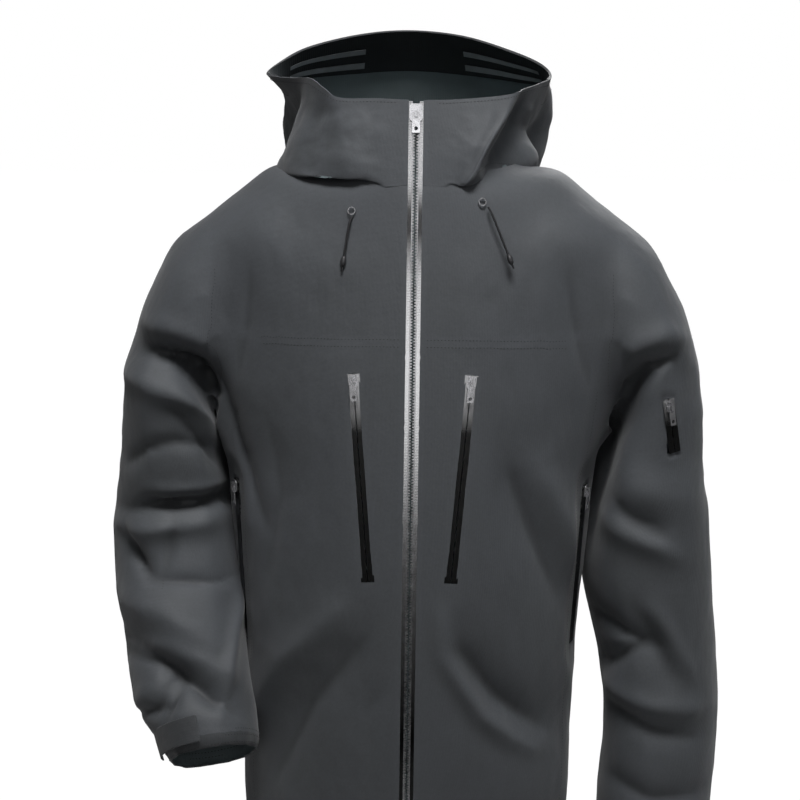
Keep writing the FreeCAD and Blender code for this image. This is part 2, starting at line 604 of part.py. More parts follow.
def rectangle(made, width, height, middle):
    """Constrained rectangle, centred across, with its middle at a height; width and height are expressions."""
    w, h = value_of(width) / 2, value_of(height) / 2
    corners = [V(-w, middle - h, 0), V(w, middle - h, 0), V(w, middle + h, 0), V(-w, middle + h, 0)]
    for i in range(4):
        made.addGeometry(Part.LineSegment(corners[i], corners[(i + 1) % 4]))
    for i in range(4):
        made.addConstraint(Sketcher.Constraint("Coincident", i, 2, (i + 1) % 4, 1))
    for i, kind in ((1, "Vertical"), (2, "Horizontal"), (3, "Vertical")):
        made.addConstraint(Sketcher.Constraint(kind, i))
    made.addConstraint(Sketcher.Constraint("Symmetric", 0, 1, 0, 2, -2))
    for label, line, first, second, text in (("width", 0, 1, 2, width), ("height", 1, 1, 2, height)):
        kind = "DistanceX" if label == "width" else "DistanceY"
        index = made.addConstraint(Sketcher.Constraint(kind, line, first, line, second, value_of(text)))
        made.renameConstraint(index, label)
        made.setExpression("Constraints." + label, text)
    made.addConstraint(Sketcher.Constraint("DistanceY", -1, 1, 0, 1, middle - h))


def circle(made, radius, x, y):
    """Circle whose radius is an expression."""
    made.addGeometry(Part.Circle(V(x, y, 0), V(0, 0, 1), value_of(radius)))
    index = made.addConstraint(Sketcher.Constraint("Radius", 0, value_of(radius)))
    made.renameConstraint(index, "radius")
    made.setExpression("Constraints.radius", radius)


def pad(body, name, sketch, length, reverse=False):
    made = body.newObject("PartDesign::Pad", name)
    made.Profile, made.Reversed = sketch, reverse
    made.setExpression("Length", length)
    return made


def through(body, name, sketch):
    """Pocket through everything on both sides of its sketch."""
    made = body.newObject("PartDesign::Pocket", name)
    made.Profile, made.Type, made.Midplane = sketch, "ThroughAll", True
    return made


def round_corners(body, name, base, radius, along):
    """Fillet on the straight edges that run along an axis."""
    DOC.recompute()
    found = []
    for i, edge in enumerate(base.Shape.Edges, start=1):
        ends = [v.Point for v in edge.Vertexes]
        if len(ends) == 2 and abs((ends[1] - ends[0]).normalize().dot(along)) > 0.999:
            found.append("Edge%d" % i)
    made = body.newObject("PartDesign::Fillet", name)
    made.Base, made.Radius = (base, found), radius
    return made


def new_body(label, place):
    body = DOC.addObject("PartDesign::Body", label + "_body")
    node(body, label)
    PLACES[label] = place
    return body


PLACES = {}
OUT = V(0, 1, 0)


def zip_slider(label, kind, place):
    """Front plate, neck through the slit, back plate and the bridge that holds the pull."""
    cell = "sizes.%s_" % kind
    front, thick = value_of(cell + "front_gap"), value_of(cell + "plate_thick")
    body = new_body(label, place)
    plate = sketch_on(body, label + "_plate", "XZ_Plane", front)
    rectangle(plate, cell + "plate_width", cell + "plate_length", 0)
    made = pad(body, label + "_front", plate, cell + "plate_thick")
    round_corners(body, label + "_round", made, value_of(cell + "plate_width") * 0.28, OUT)
    crown = sketch_on(body, label + "_crown_sketch", "XZ_Plane", front + thick * 0.5)
    rectangle(crown, cell + "crown_width", cell + "crown_length", 0)
    pad(body, label + "_crown", crown, cell + "crown_height + %r" % (thick * 0.5))
    slot = sketch_on(body, label + "_slot_sketch", "YZ_Plane")
    slot_middle = front + thick + value_of("sizes.crown_slot") / 2 + 0.2
    slot_sketch(slot, slot_middle, value_of("sizes.crown_slot"), value_of(cell + "crown_length") - 3.2)
    through(body, label + "_slot", slot)
    neck = sketch_on(body, label + "_neck_sketch", "XZ_Plane", front + 0.2)
    rectangle(neck, "sizes.post_thick", "sizes.post_length", 0)
    pad(body, label + "_neck", neck, cell + "front_gap + %sback_gap + 0.4" % cell, True)
    back = sketch_on(body, label + "_back_sketch", "XZ_Plane", -value_of(cell + "back_gap"))
    rectangle(back, cell + "plate_width", cell + "plate_length", 0)
    pad(body, label + "_back", back, cell + "plate_thick", True)
    return slot_middle


def slot_sketch(made, out, height, length):
    """Rectangle in the YZ plane, centred at a distance in front of the zip."""
    a, b = -out - height / 2, -out + height / 2
    corners = [V(a, -length / 2, 0), V(b, -length / 2, 0), V(b, length / 2, 0), V(a, length / 2, 0)]
    for i in range(4):
        made.addGeometry(Part.LineSegment(corners[i], corners[(i + 1) % 4]))


def zip_pull(label, kind, place):
    """Flat tab whose top bar lies in the slider's bridge; its hinge line is the X axis of its own frame."""
    cell = "sizes.%s_pull_" % kind
    length, thick = value_of(cell + "length"), value_of(cell + "thick")
    crown = value_of("sizes.%s_crown_length" % kind)
    bar = 1.5
    body = new_body(label, place)
    tab = sketch_on(body, label + "_tab_sketch", "XZ_Plane", -thick / 2)
    rectangle(tab, cell + "width", cell + "length", bar / 2 - length / 2)
    made = pad(body, label + "_tab", tab, cell + "thick")
    round_corners(body, label + "_round", made, 0.7, OUT)
    window = sketch_on(body, label + "_window_sketch", "XZ_Plane")
    rectangle(window, "sizes.%s_crown_width + 1" % kind, repr(crown / 2 + 1.2), -bar / 2 - (crown / 2 + 1.2) / 2)
    through(body, label + "_window", window)
    eye = sketch_on(body, label + "_eye_sketch", "XZ_Plane")
    circle(eye, "sizes.%s_eye" % kind, 0, bar / 2 - length + 2.2 + value_of("sizes.%s_eye" % kind))
    through(body, label + "_eye", eye)


def place_along(place, out, up):
    """Placement moved out of the surface and along the zip, in the zip's own frame."""
    return place.multiply(FreeCAD.Placement(V(0, -out, up), FreeCAD.Rotation()))


def slider_and_pull(name, kind, place):
    out = zip_slider(name + "_slider", kind, place)
    zip_pull(name + "_pull", kind, place_along(place.copy(), out, 0))


def sliders():
    """One slider and pull for each zip, all closed."""
    level = size("slider_level")
    angle = math.asin((level - size("arc_centre_level")) / size("arc_radius"))
    turn = FreeCAD.Rotation(V(1, 0, 0), -math.degrees(angle))
    slider_and_pull("main", "main", FreeCAD.Placement(V(0, front_y(level), level), turn))
    for name, key in (("chest_%s", ""), ("pit_%s", "side_")):
        for side in ("right", "left"):
            place, length = ZIP_SEATS[key + side]
            slider_and_pull(name % side, "small", place_along(place.copy(), 0, length - 7))
    place, length = ZIP_SEATS["sleeve"]
    slider_and_pull("sleeve", "small", place_along(place.copy(), 0, length - 7))


def cord_lock(label, place):
    """Moulded spring cord lock with a bore for its button."""
    body = new_body(label, place)
    case = sketch_on(body, label + "_case_sketch", "XZ_Plane")
    rectangle(case, "sizes.lock_width", "sizes.lock_height", 0)
    made = pad(body, label + "_case", case, "sizes.lock_thick")
    round_corners(body, label + "_round", made, 3.5, OUT)
    bore = sketch_on(body, label + "_bore_sketch", "XY_Plane", size("lock_height") / 2)
    circle(bore, "sizes.button_bore", 0, -size("lock_thick") / 2)
    pocket = body.newObject("PartDesign::Pocket", label + "_bore")
    pocket.Profile = bore
    pocket.Length = size("lock_height") - 2.5
    eye = sketch_on(body, label + "_eye_sketch", "YZ_Plane")
    circle(eye, "sizes.cord_radius + 0.5", -size("lock_thick") / 2, -size("lock_height") / 2 + 4.2)
    through(body, label + "_eye", eye)


def lock_button(label, place):
    """Round press button that slides down into its cord lock; its travel is the outside part."""
    body = new_body(label, place)
    base = size("lock_height") / 2 + size("button_out") - size("button_length")
    disc = sketch_on(body, label + "_disc_sketch", "XY_Plane", base)
    circle(disc, "sizes.button_radius", 0, -size("lock_thick") / 2)
    made = pad(body, label + "_stem", disc, "sizes.button_length")
    DOC.recompute()
    top = max(range(len(made.Shape.Edges)), key=lambda i: made.Shape.Edges[i].BoundBox.ZMin)
    fillet = body.newObject("PartDesign::Fillet", label + "_soft")
    fillet.Base, fillet.Radius = (made, ["Edge%d" % (top + 1)]), 0.8
    return body


def cord_locks(torso):
    """Two locks on the hem and the rear hood adjuster, each with its button."""
    for side, sign in (("right", -1), ("left", 1)):
        low = V(sign * size("lock_x"), -size("beyond"), size("lock_level") - 8)
        place, length = seat(torso, low, low + V(0, 0, 16), V(0, 1, 0), V(1, 0, 0))
        place = place_along(place, size("lock_standoff"), length / 2)
        cord_lock("hem_lock_" + side, place.copy())
        lock_button("hem_button_" + side, place.copy())
    angle = math.radians(size("hood_lock_angle"))
    out = V(0, math.cos(angle), math.sin(angle))
    up = V(0, -math.sin(angle), math.cos(angle))
    middle = V(size("hood_centre_x"), size("hood_pivot_y"), size("hood_pivot_level"))
    place = FreeCAD.Placement(middle + out * (size("hood_radius") + size("lock_standoff")),
                              FreeCAD.Rotation(V(-1, 0, 0), out * -1, up, "ZYX"))
    cord_lock("hood_lock", place.copy())
    lock_button("hood_button", place.copy())


# ---- Cords, loops and bags ----------------------------------------------------------------------------------

CORDS = {}


def hood_cords(torso):
    """Hanging hood cords with moulded ends, and the eyelets they leave the collar through."""
    eyelets = []
    for side in ("right", "left"):
        reach = size("beyond")
        low = V(size(side + "_cord_end_x"), -reach, size(side + "_cord_end_level"))
        high = V(size(side + "_cord_x"), -reach, size(side + "_cord_level"))
        place, length = seat(torso, low, high, V(0, 1, 0), V(1, 0, 0))
        place = place_along(place, size("cord_lift"), 0)
        CORDS[side] = (place.copy(), length)
        cord = add("Part::Cylinder", side + "_cord", Radius="sizes.cord_radius")
        cord.Height = length - 5
        cord.Placement = place.copy()
        end = add("Part::Cone", side + "_cord_end", Radius1="sizes.cord_end_radius",
                  Radius2="sizes.cord_radius + 0.7", Height="sizes.cord_end_length")
        end.Placement = place_along(place.copy(), 0, -size("cord_end_length") / 2)
        both = DOC.addObject("Part::Fuse", side + "_cord_fuse")
        both.Base, both.Tool = cord, end
        node(both, "hood_cord_" + side)
        rim = add("Part::Cylinder", side + "_rim", Radius="sizes.eyelet_radius")
        hole = add("Part::Cylinder", side + "_hole", Radius="sizes.eyelet_radius - sizes.eyelet_wall")
        rim.Height, hole.Height = 1.2, 1.2
        for ring in (rim, hole):
            ring.Placement = place_along(place.copy(), -1.6, length).multiply(
                FreeCAD.Placement(V(0, 0, 0), FreeCAD.Rotation(V(1, 0, 0), 90)))
        eyelets.append(cut(side + "_eyelet", rim, hole))
    group("cord_eyelets", eyelets)


def hem_cord():
    """Drawcord round the inside of the hem."""
    ring = body_ring("hem", "(0 - sizes.hem_cord_inset)", "_cord")
    outer = DOC.addObject("Part::Feature", "hem_cord_sweep")
    DOC.recompute()
    path = ring.Shape.copy()
    path.translate(V(0, 0, size("hem_cord_level") - size("hem_level")))
    start = path.Edges[0].valueAt(path.Edges[0].FirstParameter)
    profile = Part.Wire(Part.makeCircle(size("cord_radius"), start, V(0, 1, 0)))
    outer.Shape = Part.Wire(path.Edges).makePipeShell([profile], True, True)
    ring.Visibility = False
    node(outer, "hem_drawcord")


def hang_loop():
    """Half ring of webbing inside the back of the collar."""
    made = add("Part::Torus", "loop_ring", Radius1="sizes.loop_radius", Radius2="sizes.loop_thick")
    made.Angle3 = 180
    made.Placement = FreeCAD.Placement(V(0, size("loop_y"), size("loop_level")),
                                       FreeCAD.Rotation(V(1, 0, 0), -90))
    node(made, "hang_loop")


def pocket_bags():
    """Flat bags behind the chest zips."""
    for side, sign in (("right", -1), ("left", 1)):
        place, length = ZIP_SEATS[side]
        bag = add("Part::Box", side + "_bag", Length="sizes.bag_width", Width="sizes.bag_thick",
                  Height="sizes.bag_height")
        x = -12 if sign > 0 else 12 - size("bag_width")
        shift = V(x, size("bag_depth"), (length - size("bag_height")) / 2)
        bag.Placement = place.multiply(FreeCAD.Placement(shift, FreeCAD.Rotation()))
        node(bag, "chest_pocket_" + side)


# ---- Build and write ----------------------------------------------------------------------------------------

def write_parts():
    """Checks every object and each sub-part's solid, then writes one STEP file for each."""
    DOC.recompute()
    for label, place in PLACES.items():
        NODES[label].Placement = place
    DOC.recompute()
    for made in DOC.Objects:
        if "Invalid" in made.State or "Error" in made.State:
            raise RuntimeError("%s failed: %s" % (made.Name, made.State))
    os.makedirs("parts", exist_ok=True)
    for label, made in sorted(NODES.items()):
        if made.Shape.isNull() or not made.Shape.isValid() or not made.Shape.Solids:
            raise RuntimeError("%s has no sound solid" % label)
        made.Shape.exportStep(os.path.join("parts", label + ".step"))
    print("%d sub-parts written" % len(NODES))


def build():
    fill_sheet()
    torso_panels()
    collar_panels()
    hood_panels()
    forms = sleeve_panels()
    DOC.recompute()
    torso = DOC.getObject("torso_shell_out").Shape
    find_seats(torso, forms["left"].Shape)
    windowed_panels()
    front_zip()
    coil_zips()
    sliders()
    cord_locks(torso)
    hood_cords(torso)
    hem_cord()
    hang_loop()
    pocket_bags()
    write_parts()


build()
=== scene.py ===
import math
import bmesh
import bpy
import numpy as np
from mathutils import Matrix, Vector
from mathutils import noise as mnoise
from mathutils.bvhtree import BVHTree


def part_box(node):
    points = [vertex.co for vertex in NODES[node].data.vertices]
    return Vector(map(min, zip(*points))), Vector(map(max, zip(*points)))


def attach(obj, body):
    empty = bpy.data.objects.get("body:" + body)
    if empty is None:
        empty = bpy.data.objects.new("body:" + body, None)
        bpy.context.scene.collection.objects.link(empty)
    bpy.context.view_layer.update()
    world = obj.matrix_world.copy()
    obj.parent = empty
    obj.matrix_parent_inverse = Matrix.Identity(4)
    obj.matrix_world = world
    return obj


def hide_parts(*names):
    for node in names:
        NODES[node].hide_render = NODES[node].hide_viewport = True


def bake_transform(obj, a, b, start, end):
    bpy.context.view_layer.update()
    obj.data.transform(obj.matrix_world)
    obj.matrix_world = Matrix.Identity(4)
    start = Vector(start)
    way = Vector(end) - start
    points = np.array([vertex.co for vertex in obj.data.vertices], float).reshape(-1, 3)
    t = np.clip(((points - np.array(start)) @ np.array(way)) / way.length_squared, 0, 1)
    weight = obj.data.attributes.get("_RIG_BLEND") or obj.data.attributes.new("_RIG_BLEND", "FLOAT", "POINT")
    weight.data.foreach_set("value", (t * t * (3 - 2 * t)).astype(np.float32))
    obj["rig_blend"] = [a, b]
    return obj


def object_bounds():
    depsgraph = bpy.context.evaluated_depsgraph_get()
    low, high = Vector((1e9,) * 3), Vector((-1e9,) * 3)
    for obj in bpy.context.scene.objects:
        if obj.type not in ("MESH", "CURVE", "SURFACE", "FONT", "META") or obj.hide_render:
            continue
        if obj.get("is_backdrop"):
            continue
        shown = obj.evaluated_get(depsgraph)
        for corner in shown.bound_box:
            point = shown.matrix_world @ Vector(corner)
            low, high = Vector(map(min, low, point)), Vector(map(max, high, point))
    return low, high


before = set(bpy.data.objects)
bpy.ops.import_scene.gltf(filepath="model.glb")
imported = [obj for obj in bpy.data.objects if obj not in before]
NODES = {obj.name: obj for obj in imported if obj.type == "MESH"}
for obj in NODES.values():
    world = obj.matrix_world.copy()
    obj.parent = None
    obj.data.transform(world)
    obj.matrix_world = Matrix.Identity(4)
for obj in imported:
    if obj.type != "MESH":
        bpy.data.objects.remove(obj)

CAD_BOUNDS = [[float(c) for c in corner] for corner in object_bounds()]
MM = 0.001
ARC_R, ARC_Y, ARC_Z = 2.400, 2.250, 0.200          # centre-front line: an arc in the plane x = 0
ZIP_HALF = 0.0070                                   # half width between the two front edges
YOKE_Z = (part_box("front_panel_left")[1][2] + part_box("front_yoke_left")[0][2]) / 2
SIDE_FRONT_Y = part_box("side_panel_left")[0][1]
SIDE_BACK_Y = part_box("side_panel_left")[1][1]
SHOULDER_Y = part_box("front_yoke_left")[1][1]
ARMHOLE_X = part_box("back_yoke")[1][0] + 0.001
ELBOW_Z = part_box("upper_sleeve_left")[0][2]
NECK_Z = 0.712
TORSO = ["front_panel_left", "front_panel_right", "side_panel_left", "side_panel_right", "back_panel",
         "front_yoke_left", "front_yoke_right", "back_yoke"]
# Sleeve centre lines: x outward, y, z in mm, lean to the side and to the front in degrees.
HEAD = [(150, 2, 566, -90, 0, 0.70), (175, 2, 565, -90, 0, 0.92), (202, 2, 563, -90, 0, 1), (220, 2, 552, -78, 0, 1),
        (235.5, 2, 525.5, -60.5, 0, 1), (244, 2, 487.5, -37, 0, 1), (245, 2, 432.5, -8.5, 0, 1), (246, 2, 350, 0, 0, 1)]
LEFT_ARM = HEAD + [(247, 2, 297, 0, 0, 1), (258, 0, 200, 0, 0, 1), (260, -3, 100, 0, 0, 1), (261, -5, 3, 0, 0, 1)]
RIGHT_ARM = HEAD + [(241, -13, 302, -4, -16, 1), (230, -48, 242, 8, -27, 1), (207, -88, 178, 13, -30, 1),
                    (189.8, -114.9, 129, 13, -30, 1)]


def front_y(z):
    """How far forward the centre-front line lies at a height."""
    return ARC_Y - math.sqrt(ARC_R ** 2 - (z - ARC_Z) ** 2)


def mesh_object(name, verts, faces):
    """A linked object from points and faces."""
    me = bpy.data.meshes.new(name)
    me.from_pydata([tuple(v) for v in verts], [], [tuple(f) for f in faces])
    me.update()
    ob = bpy.data.objects.new(name, me)
    bpy.context.scene.collection.objects.link(ob)
    return ob


def tree_of(names):
    """A search tree over the CAD meshes of some nodes."""
    verts, faces = [], []
    for n in names:
        me, base = NODES[n].data, len(verts)
        verts += [v.co.copy() for v in me.vertices]
        faces += [[base + i for i in p.vertices] for p in me.polygons]
    return BVHTree.FromPolygons(verts, faces)


def ring_radii(tree, origin, across, along, count, reach):
    """Distance from a point to a tube's outer face, in a plane; gaps are bridged."""
    radii = np.full(count, np.nan)
    for i in range(count):
        a = 2 * math.pi * i / count
        d = across * math.cos(a) + along * math.sin(a)
        hit = tree.ray_cast(origin + d * reach, -d, reach - 0.02)
        if hit[0] is not None:
            radii[i] = (hit[0] - origin).length
    good = ~np.isnan(radii)
    index = np.arange(count)
    return np.interp(index, index[good], radii[good], period=count)


def tube(name, rings):
    """Closed mesh through rings of equal count."""
    n = len(rings[0])
    verts = [p for r in rings for p in r]
    faces = []
    for k in range(len(rings) - 1):
        for i in range(n):
            j = (i + 1) % n
            faces.append((k * n + i, k * n + j, (k + 1) * n + j, (k + 1) * n + i))
    faces.append(tuple(range(n - 1, -1, -1)))
    faces.append(tuple((len(rings) - 1) * n + i for i in range(n)))
    return mesh_object(name, verts, faces)


def soft_limit(x, limit, soft):
    """The smaller of x and the limit, with a rounded change."""
    return -soft * np.log(np.exp(-x / soft) + np.exp(-limit / soft))


def step(x, a, b):
    """Smooth rise from 0 at a to 1 at b."""
    t = np.clip((np.asarray(x, float) - a) / (b - a), 0, 1)
    return t * t * (3 - 2 * t)


def torso_form():
    """The body's filled shape, with its sides held in below the armholes."""
    tree = tree_of(TORSO)
    rings = []
    for z in np.concatenate([np.arange(0.001, 0.716, 0.0102), [0.7195]]):
        origin = Vector((0, -0.012, z))
        radii = ring_radii(tree, origin, Vector((1, 0, 0)), Vector((0, 1, 0)), 120, 0.34)
        a = np.arange(120) * 2 * math.pi / 120
        x, y = radii * np.cos(a), -0.012 + radii * np.sin(a)
        limit = 0.184 + 0.09 * float(step(z, 0.42, 0.50))
        x = np.sign(x) * soft_limit(np.abs(x), limit, 0.006)
        rings.append([(p, q, z) for p, q in zip(x, y)])
    return tube("torso_form", rings)


def arm_stations(arm, side, per):
    """Placements along a sleeve, evenly eased between the given ones."""
    rows = np.array(arm, float)
    out = []
    for i in range(len(rows) - 1):
        for k in range(per):
            t = k / per
            p0, p1, p2, p3 = (rows[min(max(i + d, 0), len(rows) - 1)] for d in (-1, 0, 1, 2))
            row = 0.5 * (2 * p1 + (p2 - p0) * t + (2 * p0 - 5 * p1 + 4 * p2 - p3) * t * t
                         + (3 * p1 - p0 - 3 * p2 + p3) * t ** 3)
            out.append(row)
    out.append(rows[-1])
    made = []
    for x, y, z, lean, pitch, grow in out:
        turn = Matrix.Rotation(math.radians(lean * side), 3, "Y") @ Matrix.Rotation(math.radians(pitch), 3, "X")
        made.append((Vector((x * side, y, z)) * MM, turn, grow))
    return made


def arm_form(side):
    """A sleeve's filled shape, from inside the shoulder to the cuff."""
    label = "left" if side > 0 else "right"
    tree = tree_of(["upper_sleeve_" + label, "forearm_" + label, "cuff_band_" + label])
    rings = []
    first = None
    for origin, turn, grow in arm_stations(LEFT_ARM if side > 0 else RIGHT_ARM, side, 3):
        across, along = turn @ Vector((1, 0, 0)), turn @ Vector((0, 1, 0))
        if abs(origin.x) < 0.2015 and origin.z > 0.5:
            if first is None:
                seat = Vector((0.2025 * side, 0.002, 0.563))
                first = ring_radii(tree, seat, across, along, 64, 0.15)
            radii = first * grow
        else:
            radii = ring_radii(tree, origin, across, along, 64, 0.15)
        a = np.arange(64) * 2 * math.pi / 64
        rings.append([origin + across * float(r * math.cos(t)) + along * float(r * math.sin(t))
                      for r, t in zip(radii, a)])
    return tube(label + "_arm_form", rings)


def applied(ob):
    """Replaces an object's mesh by what its modifiers make of it."""
    dep = bpy.context.evaluated_depsgraph_get()
    me = bpy.data.meshes.new_from_object(ob.evaluated_get(dep), preserve_all_data_layers=True, depsgraph=dep)
    ob.modifiers.clear()
    old = ob.data
    ob.data = me
    bpy.data.meshes.remove(old)
    return ob


def cut_away(bm, point, normal, near, arm=None, drop=False):
    """Cuts along a plane where near picks a face centre, on the sleeves or the body only if arm says so."""
    flag = bm.verts.layers.float["arm"]
    faces = []
    for f in bm.faces:
        c = f.verts[0].co
        if near(c) and (arm is None or (f.verts[0][flag] > 0.5) == arm):
            faces.append(f)
    geom = faces + list({e for f in faces for e in f.edges}) + list({v for f in faces for v in f.verts})
    bmesh.ops.bisect_plane(bm, geom=geom, plane_co=point, plane_no=normal, clear_outer=drop)


def cuff_end(arm, side):
    """The middle of a cuff's opening and the direction up the sleeve."""
    origin, turn, _ = arm_stations(arm, side, 3)[-1]
    return origin, turn @ Vector((0, 0, 1))


ARM_TREE = tree_of(["upper_sleeve_left", "forearm_left", "cuff_band_left",
                    "upper_sleeve_right", "forearm_right", "cuff_band_right"])
TORSO_TREE = tree_of(TORSO)


def spread(z):
    """How far the sleeves are held off the body while the cloth is made."""
    return 0.045 * step(0.485 - np.asarray(z), 0, 0.09)


def garment_base(voxel):
    """One closed-up cloth of body and sleeves in the filled shape, flagged where it's a sleeve."""
    parts = [torso_form(), arm_form(1), arm_form(-1)]
    for ob, side in zip(parts[1:], (1, -1)):
        co = coords(ob)
        co[:, 0] += side * spread(co[:, 2])
        set_coords(ob, co)
    trees = [BVHTree.FromObject(o, bpy.context.evaluated_depsgraph_get()) for o in parts]
    with bpy.context.temp_override(active_object=parts[0], selected_editable_objects=parts, selected_objects=parts,
                                   object=parts[0]):
        bpy.ops.object.join()
    ob = parts[0]
    ob.name = "garment"
    bm = bmesh.new()
    bm.from_mesh(ob.data)
    bmesh.ops.recalc_face_normals(bm, faces=bm.faces)
    bmesh.ops.triangulate(bm, faces=[f for f in bm.faces if len(f.verts) > 4])
    bm.to_mesh(ob.data)
    bm.free()
    mod = ob.modifiers.new("remesh", "REMESH")
    mod.mode, mod.voxel_size = "VOXEL", voxel
    applied(ob)
    mod = ob.modifiers.new("smooth", "SMOOTH")
    mod.factor, mod.iterations = 0.5, 8
    applied(ob)
    co = coords(ob)
    flag = np.zeros(len(co))
    for i, (x, y, z) in enumerate(co):
        if z > 0.46:
            flag[i] = abs(x) > ARMHOLE_X
        elif abs(x) > 0.13:
            gap = [t.find_nearest(Vector((x, y, z)))[3] for t in (trees[0], trees[1 if x > 0 else 2])]
            flag[i] = gap[1] < gap[0]
    co[:, 0] -= np.sign(co[:, 0]) * spread(co[:, 2]) * flag
    set_coords(ob, co)
    ob.data.attributes.new("arm", "FLOAT", "POINT").data.foreach_set("value", flag.astype(np.float32))
    bm = bmesh.new()
    bm.from_mesh(ob.data)
    cut_away(bm, (0, 0, 0.0035), (0, 0, -1), lambda c: c.z < 0.03, False, True)
    cut_away(bm, (0, 0, NECK_Z), (0, 0, 1), lambda c: c.z > 0.69, None, True)
    for arm, side in ((LEFT_ARM, 1), (RIGHT_ARM, -1)):
        origin, up = cuff_end(arm, side)
        cut_away(bm, origin + up * 0.0035, -up, lambda c: (c - origin).length < 0.085, True, True)
    bm.to_mesh(ob.data)
    bm.free()
    return ob


def read(items, key, width=3):
    """A mesh array as numbers, one row per item."""
    values = np.zeros(len(items) * width)
    items.foreach_get(key, values)
    return values.reshape(-1, width) if width > 1 else values


def coords(ob):
    """Vertex places."""
    return read(ob.data.vertices, "co")


def normals(ob):
    """Vertex normals."""
    return read(ob.data.vertices, "normal")


def set_coords(ob, co):
    """Moves the vertices to given places."""
    ob.data.vertices.foreach_set("co", np.asarray(co, float).ravel())
    ob.data.update()


def line_ends(co):
    """Middles of the lower and upper end of a slim upright piece."""
    low, high = co[:, 2].min(), co[:, 2].max()
    ends = []
    for picked in (co[co[:, 2] < low + 0.002], co[co[:, 2] > high - 0.002]):
        ends.append((picked.min(0) + picked.max(0)) / 2)
    return ends[0], ends[1]


def zip_lines():
    """Both ends of each pocket zip: the middle of the tape's top and bottom."""
    lines = []
    for name in ("chest_zip_tapes", "pit_zip_tapes", "sleeve_zip_tape"):
        co = coords(NODES[name])
        for side in (-1, 1):
            part = co[co[:, 0] * side > 0]
            if len(part):
                lines.append(line_ends(part))
    return lines


def line_distance(p, a, b):
    """Distance of points from the stretch between a and b."""
    d = b - a
    t = np.clip(((p - a) @ d) / (d @ d), 0, 1)
    return np.linalg.norm(p - a - t[:, None] * d, axis=1)


def held_mask(rest):
    """0 where the cloth is held by a zip or the neck, 1 where it's free."""
    mask = np.ones(len(rest))
    front = rest[:, 1] < 0
    mask *= np.where(front, step(np.abs(rest[:, 0]), 0.012, 0.05), 1)
    for low, high in zip_lines():
        mask *= step(line_distance(rest, low, high), 0.010, 0.035)
    mask *= step(rest[:, 2], 0.69, 0.64) * 1.0
    return mask


def drape(ob, frames, hold=0.12, extra=0.02, bend=25.0):
    """Lets the slightly oversized cloth buckle under its weight; a weak pull keeps the filled shape."""
    rest = coords(ob)
    pins = ob.vertex_groups.new(name="pins")
    hem = 1 - step(rest[:, 2], 0.004, 0.03)
    arms = np.zeros(len(rest))
    for arm, side in ((LEFT_ARM, 1), (RIGHT_ARM, -1)):
        origin, up = cuff_end(arm, side)
        d = rest - np.array(origin)
        arms = np.maximum(arms, (1 - step(d @ np.array(up), 0.01, 0.04)) * (np.linalg.norm(d, axis=1) < 0.1))
    pin = np.maximum.reduce([1 - held_mask(rest), hem * (np.abs(rest[:, 0]) < 0.19), arms])
    pin = hold + (1 - hold) * pin
    for i, w in enumerate(pin):
        pins.add([i], float(w), "REPLACE")
    mod = ob.modifiers.new("cloth", "CLOTH")
    c = mod.settings
    c.quality, c.mass, c.air_damping = 4, 0.2, 6
    c.tension_stiffness, c.compression_stiffness, c.shear_stiffness, c.bending_stiffness = 20, 20, 10, bend
    c.tension_damping, c.compression_damping, c.shear_damping = 15, 15, 15
    c.vertex_group_mass, c.pin_stiffness = "pins", 1
    c.shrink_min = -extra
    mod.collision_settings.use_collision = False
    scene = bpy.context.scene
    mod.point_cache.frame_start, mod.point_cache.frame_end = 1, frames
    for i in range(1, frames + 1):
        scene.frame_set(i)
    dep = bpy.context.evaluated_depsgraph_get()
    out = np.zeros(len(rest) * 3)
    ob.evaluated_get(dep).data.vertices.foreach_get("co", out)
    ob.modifiers.clear()
    ob.vertex_groups.clear()
    scene.frame_set(1)
    return out.reshape(-1, 3)


def neighbour_average(ob, values, rounds):
    """Spreads a value per vertex over its neighbours."""
    pairs = np.zeros(len(ob.data.edges) * 2, int)
    ob.data.edges.foreach_get("vertices", pairs)
    a, b = pairs.reshape(-1, 2).T
    n = len(values)
    share = np.maximum(np.bincount(a, minlength=n) + np.bincount(b, minlength=n), 1)
    values = np.asarray(values, float).reshape(n, -1)
    for _ in range(rounds):
        for k in range(values.shape[1]):
            col = values[:, k]
            around = np.bincount(a, col[b], n) + np.bincount(b, col[a], n)
            values[:, k] = 0.4 * col + 0.6 * around / share
    return values
